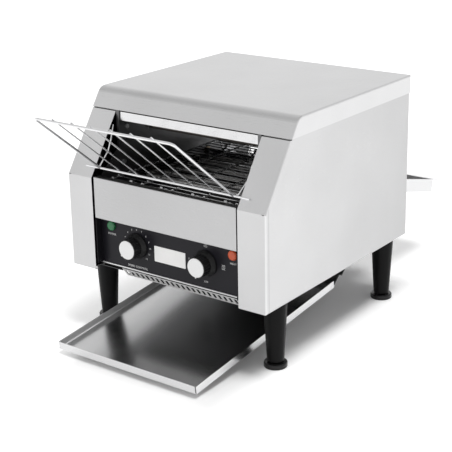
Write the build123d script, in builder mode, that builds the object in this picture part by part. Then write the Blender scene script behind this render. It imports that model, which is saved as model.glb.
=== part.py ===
"""Conveyor toaster: counter-top, wire belt, front loading rack and front toast tray.

Frame: +Z up, X across the machine, Y from front (-) to back (+), table at z = 0.
The origin is on the table, under the middle of the whole machine.
"""
from build123d import *
from math import atan2, cos, degrees, hypot, pi, radians, sin, tan
import os

os.makedirs("parts", exist_ok=True)

# ---------------------------------------------------------------- driving dimensions, in mm
# Body
body_width = 376.0
body_depth = 414.0
body_bottom = 106.0
body_top = 380.0
slope_angle = 56.2  # of the sloping front above level, degrees
lid_drop = 29.2  # depth of the lid's skirt
lid_gap = 1.8  # from its edge down to the side panels' step
lid_bend_radius = 19.0
flange_width = 49.3  # front flanges of the side panels
sheet = 1.0
bend_radius = 3.0
rack_reach = 124.5  # loading rack in front of the body
rear_reach = 231.0  # rear tray behind the body

# Clearances
fit_gap = 0.2  # between sheets that lie side by side
run_gap = 0.05  # radial, shaft in bush
move_gap = 0.35  # between parts that move past each other

# Toasting chamber
wall_front = 62.0  # upright front edge of the inner walls, behind the body's front
wall_toe = 18.0  # their lower front edge
chamber_step = 1.7  # inner faces of the inner walls from the flanges' edges
reflector_drop = 2.0  # upper reflector under the inner walls' top
brow_width = 13.6  # bright strip over the opening
baffle_rise = 6.0  # heat baffle above the apron's lower edge
baffle_inset = 128.0  # its rear wall in front of the body's back

# Belt
belt_pitch = 12.8
belt_teeth = 10
belt_margin = 16.0  # from the belt's edge to the inner wall
belt_wire = 0.9  # radius
belt_link = 0.7  # half thickness of the linked bends between the lanes
belt_lanes = 4
shaft_drop = 24.0  # both shafts under the knee of the front
idler_setback = 34.0  # idler shaft behind the body's front
drive_inset = 124.0  # drive shaft in front of the body's back, to the nearest pitch
shaft_radius = 5.0
bush_radius = 8.0
bush_flange = 11.0
bush_flange_thickness = 2.0

# Chain drive
chain_pitch = 8.0
wheel_teeth = 18
pinion_teeth = 12
chain_gap = 19.0  # middle of the chain from the chamber's outer face
motor_lead = 75.0  # motor shaft in front of the drive shaft
motor_drop = 82.0  # and under it
motor_shaft_radius = 4.0
gearbox_size = 66.0
gearbox_length = 40.0
gearbox_screw_inset = 7.0
motor_radius = 29.0
motor_length = 52.0

# Heating elements
element_radius = 4.0
upper_element_drop = 28.0  # under the upper reflector
lower_element_rise = 4.0  # above the shafts
element_gap = 28.0  # between the two legs of a hairpin
element_lead = 74.0  # first leg behind the idler shaft
element_trail = 38.0  # last leg in front of the drive shaft
element_end_gap = 15.0  # from the closed ends to the left wall
terminal_length = 12.0
insulator_radius = 7.0

# Apron and controls
apron_gap = 3.0  # from the apron's ends to the front flanges
apron_setback = 1.0
apron_rise = 1.8  # its lower edge over the top of the controls
apron_height = 66.0
panel_rise = 10.5  # control panel's lower edge above the body's underside
panel_height = 73.5
panel_gap = 2.7  # from the panel's ends to the front flanges
panel_setback = 15.0
trim_height = 4.0
trim_depth = 1.6
vent_drop = 15.0
vent_run = 12.0
vent_blank = 40.0  # left end of the vent strip, without slots
slot_pitch = 10.0
slot_width = 4.6
slot_margin = 3.0  # from the ends of a slot to the edges of its slope
intake_depth = 42.0
speed_knob_x = -64.0
selector_knob_x = 69.0
knob_rise = 39.5  # knob axes above the panel's lower edge
knob_radius = 16.5
knob_base_radius = 20.5
knob_length = 24.0
knob_rim = 2.5
knob_flare = 9.0  # where the flared base meets the fluted grip
knob_flutes = 20
flute_radius = 1.5
knob_cap_radius = 14.8
knob_cap_thickness = 1.6
pointer_width = 1.8
pointer_length = 2.4
speed_pointer = 225.0  # where the speed knob points at rest, degrees from the right
selector_pointer = 270.0
spindle_radius = 3.0
power_lamp_inset = 21.5  # from the panel's left end
heat_lamp_inset = 16.5  # from its right end
lamp_rise = 62.5
lamp_radius = 8.0
plate_width = 60.0
plate_height = 25.0
plate_x = 1.0
plate_rise = 34.5
plate_thickness = 0.8

# Loading rack
rack_bar_radius = 1.8
rack_wire_radius = 1.1
rack_frame_radius = 2.0
rack_bar_inset = 33.0  # ends of the bar from the body's sides
rack_inset = 10.5  # frame inside the chamber's walls
rack_rest_rise = 15.0  # where the bar lies on the sloping flanges, above the knee
rack_top_height = 378.0
rack_inner_wires = 6
rack_corner = 7.0
hook_wire = 1.5
hook_lean = 18.0  # the hook wire lies behind the bar, this far under level

# Front tray and return slide
tray_gap = 3.4  # from the chamber's walls
tray_slope = 5.6
tray_front = 96.0  # in front of the body
tray_inset = 142.0  # its rear end in front of the body's back
tray_bottom = 8.0
tray_lip = 12.0
slide_step = 2.0  # the slide's toe is narrower than the tray
slide_overlap = 4.0  # from the tray's rear end to the slide's bend
slide_drop = 11.1  # the slide's upper edge under the rear tray
support_width = 15.0
support_inset = 28.6  # middle of the tray's support strips from its sides

# Rear tray
rear_tray_gap = 3.0  # from the chamber's walls
rear_tray_slope = 14.5
rear_tray_drop = 62.0  # underside under the shafts, where it passes the rear panel
rear_tray_hold = 92.0  # length inside the body
rear_tray_wall = 23.0
rear_tray_lip = 28.0
rear_opening_rise = 6.0  # top of the rear opening above the shafts
ledge_width = 8.0

# Legs
leg_inset = 23.0
leg_front = 55.5
leg_rear_inset = 40.0
leg_top_radius = 18.5
leg_bottom_radius = 13.0
foot_radius = 18.0
foot_height = 8.0
leg_bottom = 10.0
stud_radius = 4.0
stud_length = 45.0

# Cooling fan and electrics
fan_size = 80.0
fan_thickness = 25.0
fan_x = -40.0
fan_lead = 126.0  # in front of the baffle's rear wall
fan_blades = 7
board_x = -60.0
board_lead = 41.0
board_size = (84.0, 50.0)
thermostat_setback = 175.0
thermostat_rise = 53.0  # above the shafts
wire_hole_setback = 78.0
wire_hole_rise = 22.0  # above the body's underside
gland_inset = 28.0
gland_rise = 24.0
gland_radius = 8.0
block_inset = 92.0

# ---------------------------------------------------------------- derived places
body_half = body_width / 2
front_y = -(body_depth + rear_reach - rack_reach) / 2
rear_y = front_y + body_depth
flange_edge = body_half - flange_width
chamber_half = flange_edge - chamber_step  # inner faces of the inner walls
chamber_outer = chamber_half + sheet
lining_half = chamber_half - fit_gap / 2
apron_half = flange_edge - apron_gap
panel_half = flange_edge - panel_gap
inset_half = body_half - bend_radius - fit_gap  # sheets that lie inside the side panels' bends
leg_x = body_half - leg_inset
gland_x = body_half - gland_inset
chain_x = chamber_outer + chain_gap

side_top = body_top - bend_radius - fit_gap
lid_edge_height = body_top - lid_drop
wall_top = lid_edge_height
reflector_height = wall_top - reflector_drop
brow_height = reflector_height - brow_width
panel_bottom = body_bottom + panel_rise
apron_bottom = panel_bottom + panel_height
panel_top = apron_bottom - fit_gap
knee_height = apron_bottom + apron_height  # where the front turns from upright to sloping
pan_bottom = body_bottom + sheet + fit_gap / 2
pan_top = pan_bottom + sheet
pan_seat = pan_top + fit_gap / 2
shaft_height = knee_height - shaft_drop
motor_height = shaft_height - motor_drop
upper_element_height = reflector_height - upper_element_drop
lower_element_height = shaft_height + lower_element_rise
baffle_height = apron_bottom + baffle_rise
knob_height = panel_bottom + knob_rise
lamp_height = panel_bottom + lamp_rise
rear_tray_height = shaft_height - rear_tray_drop
rear_opening_top = shaft_height + rear_opening_rise

panel_y = front_y + panel_setback
rear_inner = rear_y - 2 * sheet - fit_gap / 2  # front face of the rear panel
baffle_y = rear_y - baffle_inset
belt_half_width = chamber_half - belt_margin
belt_radius = belt_pitch * belt_teeth / (2 * pi)
belt_rows = belt_teeth + 2 * round((body_depth - idler_setback - drive_inset) / belt_pitch)
shaft_span = (belt_rows - belt_teeth) * belt_pitch / 2
idler_y = front_y + idler_setback
drive_y = idler_y + shaft_span
motor_y = drive_y - motor_lead
gearbox_corner = gearbox_size / 2 - gearbox_screw_inset
element_pitch = (shaft_span - element_lead - element_trail - element_gap) / 2
element_legs = [
    idler_y + element_lead + element_pitch * index + start
    for index in range(3)
    for start in (0.0, element_gap)
]
leg_places = {
    "front_left": (-leg_x, front_y + leg_front),
    "front_right": (leg_x, front_y + leg_front),
    "rear_left": (-leg_x, rear_y - leg_rear_inset),
    "rear_right": (leg_x, rear_y - leg_rear_inset),
}


def slope_y(height):
    """Y of the sloping front at a height."""
    return front_y + (height - knee_height) / tan(radians(slope_angle))


def save(piece, label):
    """Label a finished piece and write its STEP file."""
    piece.part.label = label
    export_step(piece.part, f"parts/{label}.step")


def sheet_profile(*points, thickness=sheet, side=Side.LEFT):
    """Face of a bent sheet: the polyline is one of its faces."""
    with BuildLine() as outline:
        Polyline(*points)
        offset(amount=thickness, side=side, kind=Kind.INTERSECTION)
    make_face(outline.edges())


def polygon(*points):
    """Face inside a closed polyline."""
    with BuildLine() as outline:
        Polyline(*points, close=True)
    make_face(outline.edges())


def straight_rod(start, end, radius):
    """Round rod from one point to another."""
    run = Vector(*end) - Vector(*start)
    with BuildSketch(Plane(origin=start, z_dir=run)) as section:
        Circle(radius)
    extrude(section.sketch, amount=run.length)


def bent_rod(points, radius, bend):
    """Round rod along a polyline whose corners are bent."""
    with BuildLine() as route:
        FilletPolyline(*points, radius=bend)
    with BuildSketch(Plane(origin=route.wire() @ 0, z_dir=route.wire() % 0)) as section:
        Circle(radius)
    sweep(section.sketch, path=route.wire())


def box_between(low, high, mode=Mode.ADD):
    """Box from its low corner to its high corner."""
    with BuildSketch(Plane.XY.offset(low[2])) as footprint:
        with Locations(((low[0] + high[0]) / 2, (low[1] + high[1]) / 2)):
            Rectangle(high[0] - low[0], high[1] - low[1])
    extrude(footprint.sketch, amount=high[2] - low[2], mode=mode)


screw_radius = 2.0
screw_head_radius = 3.6
screw_head = 2.2


def screw(at, towards, length=6.0):
    """Pan head screw whose head sits on a face at a point; its shank goes towards a direction."""
    face = Plane(origin=at, z_dir=towards)
    with BuildSketch(face) as shank:
        Circle(screw_radius)
    extrude(shank.sketch, amount=length)
    with BuildSketch(face) as head:
        Circle(screw_head_radius)
    extrude(head.sketch, amount=-screw_head)
    with BuildSketch(face.offset(-screw_head)) as cross:
        SlotOverall(screw_head_radius * 1.3, 0.8)
        SlotOverall(screw_head_radius * 1.3, 0.8, rotation=90)
    extrude(cross.sketch, amount=screw_head / 2, mode=Mode.SUBTRACT)


def hole(at, towards, radius=None, depth=6.0):
    """Round hole from a point along a direction."""
    with BuildSketch(Plane(origin=at, z_dir=towards).offset(-depth / 2)) as mouth:
        Circle((radius or screw_radius) + fit_gap)
    extrude(mouth.sketch, amount=depth, mode=Mode.SUBTRACT)


# ---------------------------------------------------------------- casing
side_shelf = lid_edge_height - lid_gap  # the side panels step in here, under the lid
side_step = (bend_radius + fit_gap) / sin(radians(slope_angle))
shoulder_height = body_top - 16.0
side_outline = (
    (front_y, body_bottom),
    (front_y, knee_height),
    (slope_y(side_shelf), side_shelf),
    (slope_y(side_shelf) + side_step, side_shelf),
    (slope_y(shoulder_height) + side_step, shoulder_height),
    (slope_y(shoulder_height) + side_step + lid_bend_radius + bend_radius, side_top),
    (rear_y, side_top),
    (rear_y, body_bottom),
)
bottom_flange = 42.0
back_flange = 15.0
slit_width = 0.8
lid_screw_height = (lid_edge_height + side_top) / 2
lid_screw_x = (38.0 - body_half, body_half - 38.0)
case_screw_heights = (body_bottom + 29.0, body_bottom + 129.0, body_top - 55.0)
case_screw_points = [(side * (body_half - 9.0), z) for side in (-1, 1) for z in case_screw_heights]
slit_length = 4.0


def side_panel(side, label):
    """Side panel with flanges turned in all round; side is -1 for left, 1 for right."""
    inner_x = side * flange_edge
    with BuildPart() as panel:
        with BuildSketch(Plane.YZ.offset(side * body_half)):
            polygon(*side_outline)
        extrude(amount=-side * flange_width)
        outer = panel.faces().sort_by(Axis.X)[0 if side < 0 else -1]
        bends = [edge for edge in outer.edges() if edge.length > flange_width]
        fillet(bends, radius=bend_radius)
        opening = panel.faces().sort_by(Axis.X)[-1 if side < 0 else 0]
        offset(amount=-sheet, openings=opening)
        behind = 3 * sheet
        for width, low, high in (
            (bottom_flange, body_bottom - sheet, body_bottom + 2 * sheet),
            (back_flange, body_bottom + 2 * sheet, body_top),
        ):
            with BuildSketch(Plane.YZ.offset(inner_x)):
                with BuildLine():
                    Polyline(
                        (front_y + behind, low),
                        (front_y + behind, min(high, knee_height)),
                        (slope_y(max(high, knee_height)) + 2 * behind, high),
                        (rear_y + behind, high),
                        (rear_y + behind, low),
                        close=True,
                    )
                make_face()
            extrude(amount=side * (flange_width - width), mode=Mode.SUBTRACT)
        slit_x = side * (body_half - bend_radius - slit_length / 2)
        with BuildSketch(Plane.XZ.offset(-front_y - behind)):
            with Locations((slit_x, knee_height)):
                Rectangle(slit_length, slit_width)
        extrude(amount=2 * behind, mode=Mode.SUBTRACT)
        with BuildSketch(Plane.XY.offset(body_bottom - sheet)):
            with Locations(*[(x, y) for x, y in leg_places.values() if x * side > 0]):
                Circle(stud_radius + fit_gap)
        extrude(amount=3 * sheet, mode=Mode.SUBTRACT)
        for x, height in case_screw_points:
            if x * side > 0:
                hole((x, rear_y, height), (0, 1, 0))
    save(panel, label)
    return panel


side_panel_left = side_panel(-1, "side_panel_left")
side_panel_right = side_panel(1, "side_panel_right")

lid_half = body_half + fit_gap + sheet
lid_rear = rear_y + fit_gap + sheet
with BuildPart() as lid:
    with BuildSketch(Plane.YZ.offset(-lid_half)):
        polygon(
            (slope_y(lid_edge_height), lid_edge_height),
            (slope_y(body_top), body_top),
            (lid_rear, body_top),
            (lid_rear, lid_edge_height),
        )
    extrude(amount=2 * lid_half)
    front_bend = lid.edges().filter_by(Axis.X).group_by(Axis.Z)[-1].sort_by(Axis.Y)[0]
    fillet(front_bend, radius=lid_bend_radius)
    ends = lid.faces().filter_by(Axis.X)
    rim = [edge for end in ends for edge in end.edges() if edge.center().Z > lid_edge_height + 1.0]
    fillet(rim, radius=bend_radius)
    offset(amount=-sheet, openings=lid.faces().filter_by(Axis.Z).sort_by(Axis.Z)[0])
    for x in lid_screw_x:
        hole((x, lid_rear, lid_screw_height), (0, 1, 0))
save(lid, "lid")

rear_floor = rear_tray_height - move_gap  # lower edge of the rear opening
gland_height = body_bottom + gland_rise
louvre_x = body_half - 25.0
louvre_pitch = 9.0
louvre_heights = [rear_opening_top + 22.0 + louvre_pitch * row for row in range(8)]
with BuildPart() as rear_panel:
    box_between(
        (-inset_half, rear_inner, body_bottom + bend_radius + fit_gap),
        (inset_half, rear_inner + sheet, side_top - bend_radius - fit_gap),
    )
    box_between(
        (-chamber_half, rear_inner - sheet, rear_floor - 2 * sheet),
        (chamber_half, rear_inner + 2 * sheet, rear_opening_top),
        mode=Mode.SUBTRACT,
    )
    hole((gland_x, rear_inner, gland_height), (0, 1, 0), gland_radius)
    for x, height in [*case_screw_points, *((x, lid_screw_height) for x in lid_screw_x)]:
        hole((x, rear_inner, height), (0, 1, 0))
    with BuildSketch(Plane.XZ.offset(-rear_inner + 2 * sheet)):
        with Locations(*[(side * louvre_x, height) for side in (-1, 1) for height in louvre_heights]):
            SlotOverall(30.0, 3.0)
    extrude(amount=-4 * sheet, mode=Mode.SUBTRACT)
save(rear_panel, "rear_panel")

vent_top = panel_bottom - trim_height - sheet
vent_front = panel_y
vent_low = vent_top - vent_drop
vent_back = vent_front + vent_run
intake_back = vent_back + intake_depth
vent_left = chamber_half - vent_blank
vent_right = chamber_half - fit_gap
vent_half = (vent_right + vent_left) / 2
vent_x = (vent_right - vent_left) / 2
vent_slots = int(2 * vent_half / slot_pitch)
fan_y = baffle_y - fan_lead
with BuildPart() as base_pan:
    box_between(
        (-inset_half, front_y + bend_radius + fit_gap, pan_bottom),
        (inset_half, rear_inner - fit_gap, pan_top),
    )
    box_between(
        (-chamber_half + fit_gap, baffle_y + 2 * sheet, pan_bottom - sheet),
        (chamber_half - fit_gap, rear_y, pan_top + sheet),
        mode=Mode.SUBTRACT,
    )
    box_between(
        (-inset_half, front_y, pan_bottom - sheet),
        (inset_half, panel_y + 2 * sheet, pan_top + sheet),
        mode=Mode.SUBTRACT,
    )
    box_between(
        (-vent_left - sheet, front_y, pan_bottom - sheet),
        (chamber_half, vent_back + sheet, pan_top + sheet),
        mode=Mode.SUBTRACT,
    )
    with BuildSketch(Plane.XY.offset(pan_bottom - sheet)):
        with Locations(*leg_places.values()):
            Circle(stud_radius + fit_gap)
        with Locations((fan_x, fan_y)):
            for ring in (14.0, 24.0, 34.0):
                with PolarLocations(ring, 4):
                    SlotCenterToCenter(ring, 5.0, rotation=90)
        with Locations((20.0, (vent_back + intake_back) / 2 + 4.0)):
            with GridLocations(16.0, 1.0, 12, 1):
                SlotOverall(24.0, 8.0, rotation=90)
    extrude(amount=4 * sheet, mode=Mode.SUBTRACT)
save(base_pan, "base_pan")

slope_length = hypot(vent_run, vent_drop)
vent_slope = Plane(
    origin=(vent_x, vent_front + vent_run / 2, vent_top - vent_drop / 2),
    x_dir=(1, 0, 0),
    z_dir=(0, -vent_drop, -vent_run),
)
with BuildPart() as vent_strip:
    with BuildSketch(Plane.YZ.offset(vent_x - vent_half)):
        sheet_profile(
            (vent_front, panel_bottom - sheet / 2),
            (vent_front, vent_top),
            (vent_back, vent_low),
            (intake_back, vent_low),
            (intake_back, pan_bottom - fit_gap / 2),
            thickness=sheet,
        )
    extrude(amount=2 * vent_half)
    with BuildSketch(vent_slope):
        with GridLocations(slot_pitch, 1.0, vent_slots, 1):
            RectangleRounded(slot_width, slope_length - 2 * slot_margin, 1.0)
    extrude(amount=3 * sheet, both=True, mode=Mode.SUBTRACT)
save(vent_strip, "vent_strip")

ear_height = apron_bottom + 12.0
ear_overlap = 14.0
with BuildPart() as apron:
    with BuildSketch(Plane.XZ.offset(-(front_y + apron_setback))):
        with Locations((0, (apron_bottom + knee_height) / 2 + apron_rise)):
            Rectangle(2 * apron_half, knee_height - apron_bottom)
    extrude(amount=-12.0)
    face = apron.faces().sort_by(Axis.Y)[0]
    fillet(face.edges(), radius=1.1)
    offset(amount=-sheet, openings=apron.faces().sort_by(Axis.Y)[-1])
    for side in (-1, 1):
        ear = sorted((side * (apron_half - sheet), side * (chamber_half - fit_gap)))
        box_between(
            (ear[0], front_y + apron_setback + 6.0, ear_height),
            (ear[1], front_y + wall_toe + ear_overlap, ear_height + 10.0),
        )
save(apron, "apron")

with BuildPart() as control_panel:
    box_between((-panel_half, panel_y, panel_bottom), (panel_half, panel_y + sheet, panel_top))
    for side in (-1, 1):
        edge_x = side * (panel_half - sheet / 2)
        box_between(
            (edge_x - sheet / 2, front_y + 2 * sheet, panel_bottom),
            (edge_x + sheet / 2, panel_y, panel_top),
        )
        ear = sorted((side * (panel_half - sheet), side * (chamber_half - fit_gap)))
        box_between(
            (ear[0], panel_y, panel_bottom + 20.0),
            (ear[1], front_y + wall_toe + ear_overlap, panel_bottom + 36.0),
        )
    for x in (speed_knob_x, selector_knob_x):
        hole((x, panel_y, knob_height), (0, 1, 0), spindle_radius + 1.0)
    for x in (power_lamp_inset - panel_half, panel_half - heat_lamp_inset):
        hole((x, panel_y, lamp_height), (0, 1, 0), lamp_radius - 2.0)
save(control_panel, "control_panel")

with BuildPart() as name_plate:
    with BuildSketch(Plane.XZ.offset(-panel_y)):
        with Locations((plate_x, panel_bottom + plate_rise)):
            RectangleRounded(plate_width, plate_height, 1.0)
    extrude(amount=plate_thickness)
save(name_plate, "name_plate")

with BuildPart() as control_trim:
    box_between(
        (-panel_half, panel_y - trim_depth, panel_bottom - trim_height),
        (panel_half, panel_y - fit_gap / 2, panel_bottom - fit_gap / 2),
    )
    fillet(control_trim.edges().filter_by(Axis.X).sort_by(Axis.Y)[0:2], radius=0.5)
save(control_trim, "control_trim")


# ---------------------------------------------------------------- lines of the tray and the slide
tray_tilt = radians(tray_slope)
tray_origin_y = front_y - tray_front
tray_end_y = rear_y - tray_inset
bend_y = tray_end_y + slide_overlap
toe_y = bend_y - 18.0
toe_lift = sheet / cos(tray_tilt) + move_gap
slide_top_y = rear_inner - sheet - fit_gap
flange_from = bend_y + 62.0
flange_rise = 10.0


def tray_under(y):
    """Height of the front tray's underside."""
    return tray_bottom + (y - tray_origin_y) * tan(tray_tilt)


def slide_under(y):
    """Height of the return slide's underside, behind its bend."""
    return slide_low + (y - bend_y) * slide_slope


slide_low = tray_under(bend_y) + toe_lift
slide_slope = (rear_tray_height - slide_drop - slide_low) / (slide_top_y - bend_y)
slide_screw_places = [
    (back, slide_under(back) + flange_rise / 2 + sheet)
    for back in (flange_from + 14.0, flange_from + 44.0)
]


# ---------------------------------------------------------------- chamber
lip_width = 5.0
foot_width = 12.0
wall_outline = (
    (front_y + wall_toe, pan_seat),
    (front_y + wall_toe, knee_height - 4.0),
    (front_y + wall_front, knee_height + 36.0),
    (front_y + wall_front, wall_top),
    (rear_inner - 2 * fit_gap, wall_top),
    (rear_inner - 2 * fit_gap, pan_seat),
)
wall_screws = ((84.0, knee_height + 65.0), (75.0, knee_height + 9.5))
reflector_rear = rear_inner - 6.0
wire_hole_y = front_y + wire_hole_setback
wire_hole_z = body_bottom + wire_hole_rise
wire_hole_radius = 6.5
boss_radius = 10.5


def inner_wall(side, label):
    """Wall of the toasting chamber, with a front lip, a foot and a back flange."""
    with BuildPart() as wall:
        with BuildSketch(Plane.YZ.offset(side * chamber_half)):
            polygon(*wall_outline)
        extrude(amount=side * sheet)
        inward = sorted((side * chamber_half, side * (chamber_half - lip_width)))
        box_between(
            (inward[0], front_y + wall_front, knee_height + 38.0),
            (inward[1], front_y + wall_front + sheet, wall_top),
        )
        outward = sorted((side * chamber_outer, side * (chamber_outer + foot_width)))
        box_between(
            (outward[0], front_y + wall_toe, pan_seat),
            (outward[1], rear_inner - 2 * fit_gap, pan_seat + sheet),
        )
        box_between(
            (outward[0], rear_inner - 2 * fit_gap - sheet, pan_top + 2 * sheet),
            (outward[1], rear_inner - 2 * fit_gap, wall_top),
        )
        for y in (idler_y, drive_y):
            hole((side * chamber_half, y, shaft_height), (1, 0, 0), bush_radius)
        for back, height in wall_screws if side < 0 else ():
            hole((side * chamber_half, front_y + back, height), (1, 0, 0))
        if side > 0:
            for y in element_legs:
                for height in (upper_element_height, lower_element_height):
                    hole((chamber_half, y, height), (1, 0, 0), insulator_radius)
            hole((chamber_half, motor_y, motor_height), (1, 0, 0), boss_radius + 0.5)
            for dy in (-gearbox_corner, gearbox_corner):
                for dz in (-gearbox_corner, gearbox_corner):
                    hole((chamber_half, motor_y + dy, motor_height + dz), (1, 0, 0))
            hole((chamber_half, wire_hole_y, wire_hole_z), (1, 0, 0), wire_hole_radius)
        for back, height in slide_screw_places:
            hole((side * chamber_half, back, height), (1, 0, 0))
    save(wall, label)
    return wall


inner_wall_left = inner_wall(-1, "inner_wall_left")
inner_wall_right = inner_wall(1, "inner_wall_right")

with BuildPart() as upper_reflector:
    with BuildSketch(Plane.YZ.offset(-lining_half)):
        brow_y = front_y + wall_front + 2 * sheet
        sheet_profile(
            (brow_y, brow_height),
            (brow_y, reflector_height),
            (reflector_rear, reflector_height),
            (reflector_rear, rear_opening_top + 4.0),
            side=Side.RIGHT,
        )
    extrude(amount=2 * lining_half)
save(upper_reflector, "upper_reflector")

pan_height = shaft_height - 8.0
pan_flange = 4.0
pan_end_gap = 6.0  # from the belt's bends
pan_front = idler_y + belt_radius + pan_end_gap
pan_rear = drive_y - belt_radius - pan_end_gap
with BuildPart() as lower_reflector:
    with BuildSketch(Plane.XZ.offset(-pan_front)):
        sheet_profile(
            (-lining_half, pan_height + pan_flange),
            (-lining_half, pan_height),
            (lining_half, pan_height),
            (lining_half, pan_height + pan_flange),
        )
    extrude(amount=-(pan_rear - pan_front))
save(lower_reflector, "lower_reflector")

with BuildPart() as heat_baffle:
    with BuildSketch(Plane.YZ.offset(-lining_half)):
        sheet_profile(
            (front_y + apron_setback + 18.0, baffle_height),
            (baffle_y, baffle_height),
            (baffle_y, pan_seat),
            side=Side.RIGHT,
        )
    extrude(amount=2 * lining_half)
save(heat_baffle, "heat_baffle")

# ---------------------------------------------------------------- conveyor
belt_top = shaft_height + belt_radius
belt_low = shaft_height - belt_radius
shaft_end = chamber_outer + 8.0
lane_width = 2 * belt_half_width / belt_lanes
sprocket_x = [(lane - (belt_lanes - 1) / 2) * lane_width for lane in range(belt_lanes)]
sprocket_tip = belt_radius - belt_wire - move_gap
sprocket_thickness = 5.0
half_tooth = 180.0 / belt_teeth  # puts a tooth under each rod that rounds the wheel


def belt_point(distance):
    """Y and Z on the belt loop, from the front end of its top run."""
    if distance < shaft_span:
        return (idler_y + distance, belt_top)
    distance -= shaft_span
    if distance < pi * belt_radius:
        turn = distance / belt_radius
        return (drive_y + belt_radius * sin(turn), shaft_height + belt_radius * cos(turn))
    distance -= pi * belt_radius
    if distance < shaft_span:
        return (drive_y - distance, belt_low)
    turn = (distance - shaft_span) / belt_radius
    return (idler_y - belt_radius * sin(turn), shaft_height - belt_radius * cos(turn))


def belt_ring(x):
    """The linked wire bends at one place across the belt, all round the loop."""
    with BuildSketch(Plane.YZ.offset(x - belt_link)) as ring:
        with Locations(((idler_y + drive_y) / 2, shaft_height)):
            SlotCenterToCenter(shaft_span, 2 * (belt_radius + belt_link))
            SlotCenterToCenter(shaft_span, 2 * (belt_radius - belt_link), mode=Mode.SUBTRACT)
    extrude(ring.sketch, amount=2 * belt_link)


with BuildPart() as conveyor_belt:
    with BuildSketch(Plane.YZ.offset(-belt_half_width)):
        with Locations(*[belt_point(belt_pitch * (row + 0.5)) for row in range(belt_rows)]):
            Circle(belt_wire)
    extrude(amount=2 * belt_half_width)
    for lane in range(belt_lanes + 1):
        belt_ring((2 * lane / belt_lanes - 1) * (belt_half_width - belt_link))
save(conveyor_belt, "conveyor_belt")


def shaft(y, end, label):
    """Round shaft through both inner walls, to an end on the right."""
    with BuildPart() as bar:
        straight_rod((-shaft_end, y, shaft_height), (end, y, shaft_height), shaft_radius)
        chamfer(bar.edges().filter_by(GeomType.CIRCLE), length=0.8)
    save(bar, label)
    return bar


def star_wheel(y, z, x, teeth, tip, thickness, bore, turn=0.0):
    """Toothed wheel with a hub, on an axis along X; turn is the angle of its first gap."""
    with BuildSketch(Plane.YZ.offset(x - thickness / 2)) as wheel:
        with Locations((y, z)):
            Circle(tip)
            with PolarLocations(tip + 0.6, teeth, start_angle=turn):
                Circle(pi * tip / teeth * 0.62, mode=Mode.SUBTRACT)
    extrude(wheel.sketch, amount=thickness)
    with BuildSketch(Plane.YZ.offset(x - thickness * 1.2)) as hub:
        with Locations((y, z)):
            Circle(bore + 4.0)
    extrude(hub.sketch, amount=thickness * 2.4)
    with BuildSketch(Plane.YZ.offset(x - 2 * thickness)) as opening:
        with Locations((y, z)):
            Circle(bore + run_gap)
    extrude(opening.sketch, amount=4 * thickness, mode=Mode.SUBTRACT)


def belt_sprockets(y, label):
    """The belt's four sprockets on one shaft."""
    with BuildPart() as wheels:
        for x in sprocket_x:
            star_wheel(
                y, shaft_height, x, belt_teeth, sprocket_tip, sprocket_thickness, shaft_radius, half_tooth
            )
    save(wheels, label)
    return wheels


idler_shaft = shaft(idler_y, shaft_end, "idler_shaft")
drive_shaft = shaft(drive_y, chain_x + 9.0, "drive_shaft")
idler_sprockets = belt_sprockets(idler_y, "idler_sprockets")
drive_sprockets = belt_sprockets(drive_y, "drive_sprockets")

with BuildPart() as shaft_bushes:
    for y in (idler_y, drive_y):
        for side in (-1, 1):
            inner = side * (chamber_half - 1.5)
            seat = side * (chamber_outer + fit_gap / 2)
            straight_rod((inner, y, shaft_height), (seat, y, shaft_height), bush_radius)
            outer = seat + side * bush_flange_thickness
            straight_rod((seat, y, shaft_height), (outer, y, shaft_height), bush_flange)
            middle = (inner + outer) / 2
            hole((middle, y, shaft_height), (1, 0, 0), shaft_radius + run_gap - fit_gap, 12.0)
save(shaft_bushes, "shaft_bushes")

# ---------------------------------------------------------------- chain drive
wheel_radius = chain_pitch * wheel_teeth / (2 * pi)
pinion_radius = chain_pitch * pinion_teeth / (2 * pi)
roller_radius = 2.1
wheel_thickness = 3.0
plate_depth = 2.4  # half height of the chain's plates
roller_length = wheel_thickness + 2 * move_gap

with BuildPart() as chain_wheel:
    tip = wheel_radius - roller_radius - move_gap
    star_wheel(drive_y, shaft_height, chain_x, wheel_teeth, tip, wheel_thickness, shaft_radius)
save(chain_wheel, "chain_wheel")

with BuildPart() as motor_sprocket:
    tip = pinion_radius - roller_radius - move_gap
    star_wheel(motor_y, motor_height, chain_x, pinion_teeth, tip, wheel_thickness, motor_shaft_radius)
save(motor_sprocket, "motor_sprocket")


def chain_points():
    """Rollers of the chain, evenly spaced round both wheels: lists of Y and Z."""
    dy = motor_y - drive_y
    dz = motor_height - shaft_height
    span = hypot(dy, dz)
    heading = atan2(dz, dy)
    lean = (wheel_radius - pinion_radius) / span
    tangent = (span**2 - (wheel_radius - pinion_radius) ** 2) ** 0.5
    half = pi / 2 + atan2(lean, (1 - lean**2) ** 0.5)  # half the chain's wrap on the big wheel
    big = 2 * half * wheel_radius
    small = 2 * (pi - half) * pinion_radius
    total = big + small + 2 * tangent
    count = round(total / chain_pitch)
    points = []
    for link in range(count):
        along = total * link / count
        if along < big:
            angle = heading + pi - half + along / wheel_radius
            points.append((drive_y + wheel_radius * cos(angle), shaft_height + wheel_radius * sin(angle)))
            continue
        along -= big
        side = heading + pi + half
        start = (drive_y + wheel_radius * cos(side), shaft_height + wheel_radius * sin(side))
        if along < tangent:
            direction = side + pi / 2
            points.append((start[0] + along * cos(direction), start[1] + along * sin(direction)))
            continue
        along -= tangent
        if along < small:
            angle = side + along / pinion_radius
            points.append((motor_y + pinion_radius * cos(angle), motor_height + pinion_radius * sin(angle)))
            continue
        along -= small
        side = heading + pi - half
        start = (motor_y + pinion_radius * cos(side), motor_height + pinion_radius * sin(side))
        direction = side + pi / 2
        points.append((start[0] + along * cos(direction), start[1] + along * sin(direction)))
    return points


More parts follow.
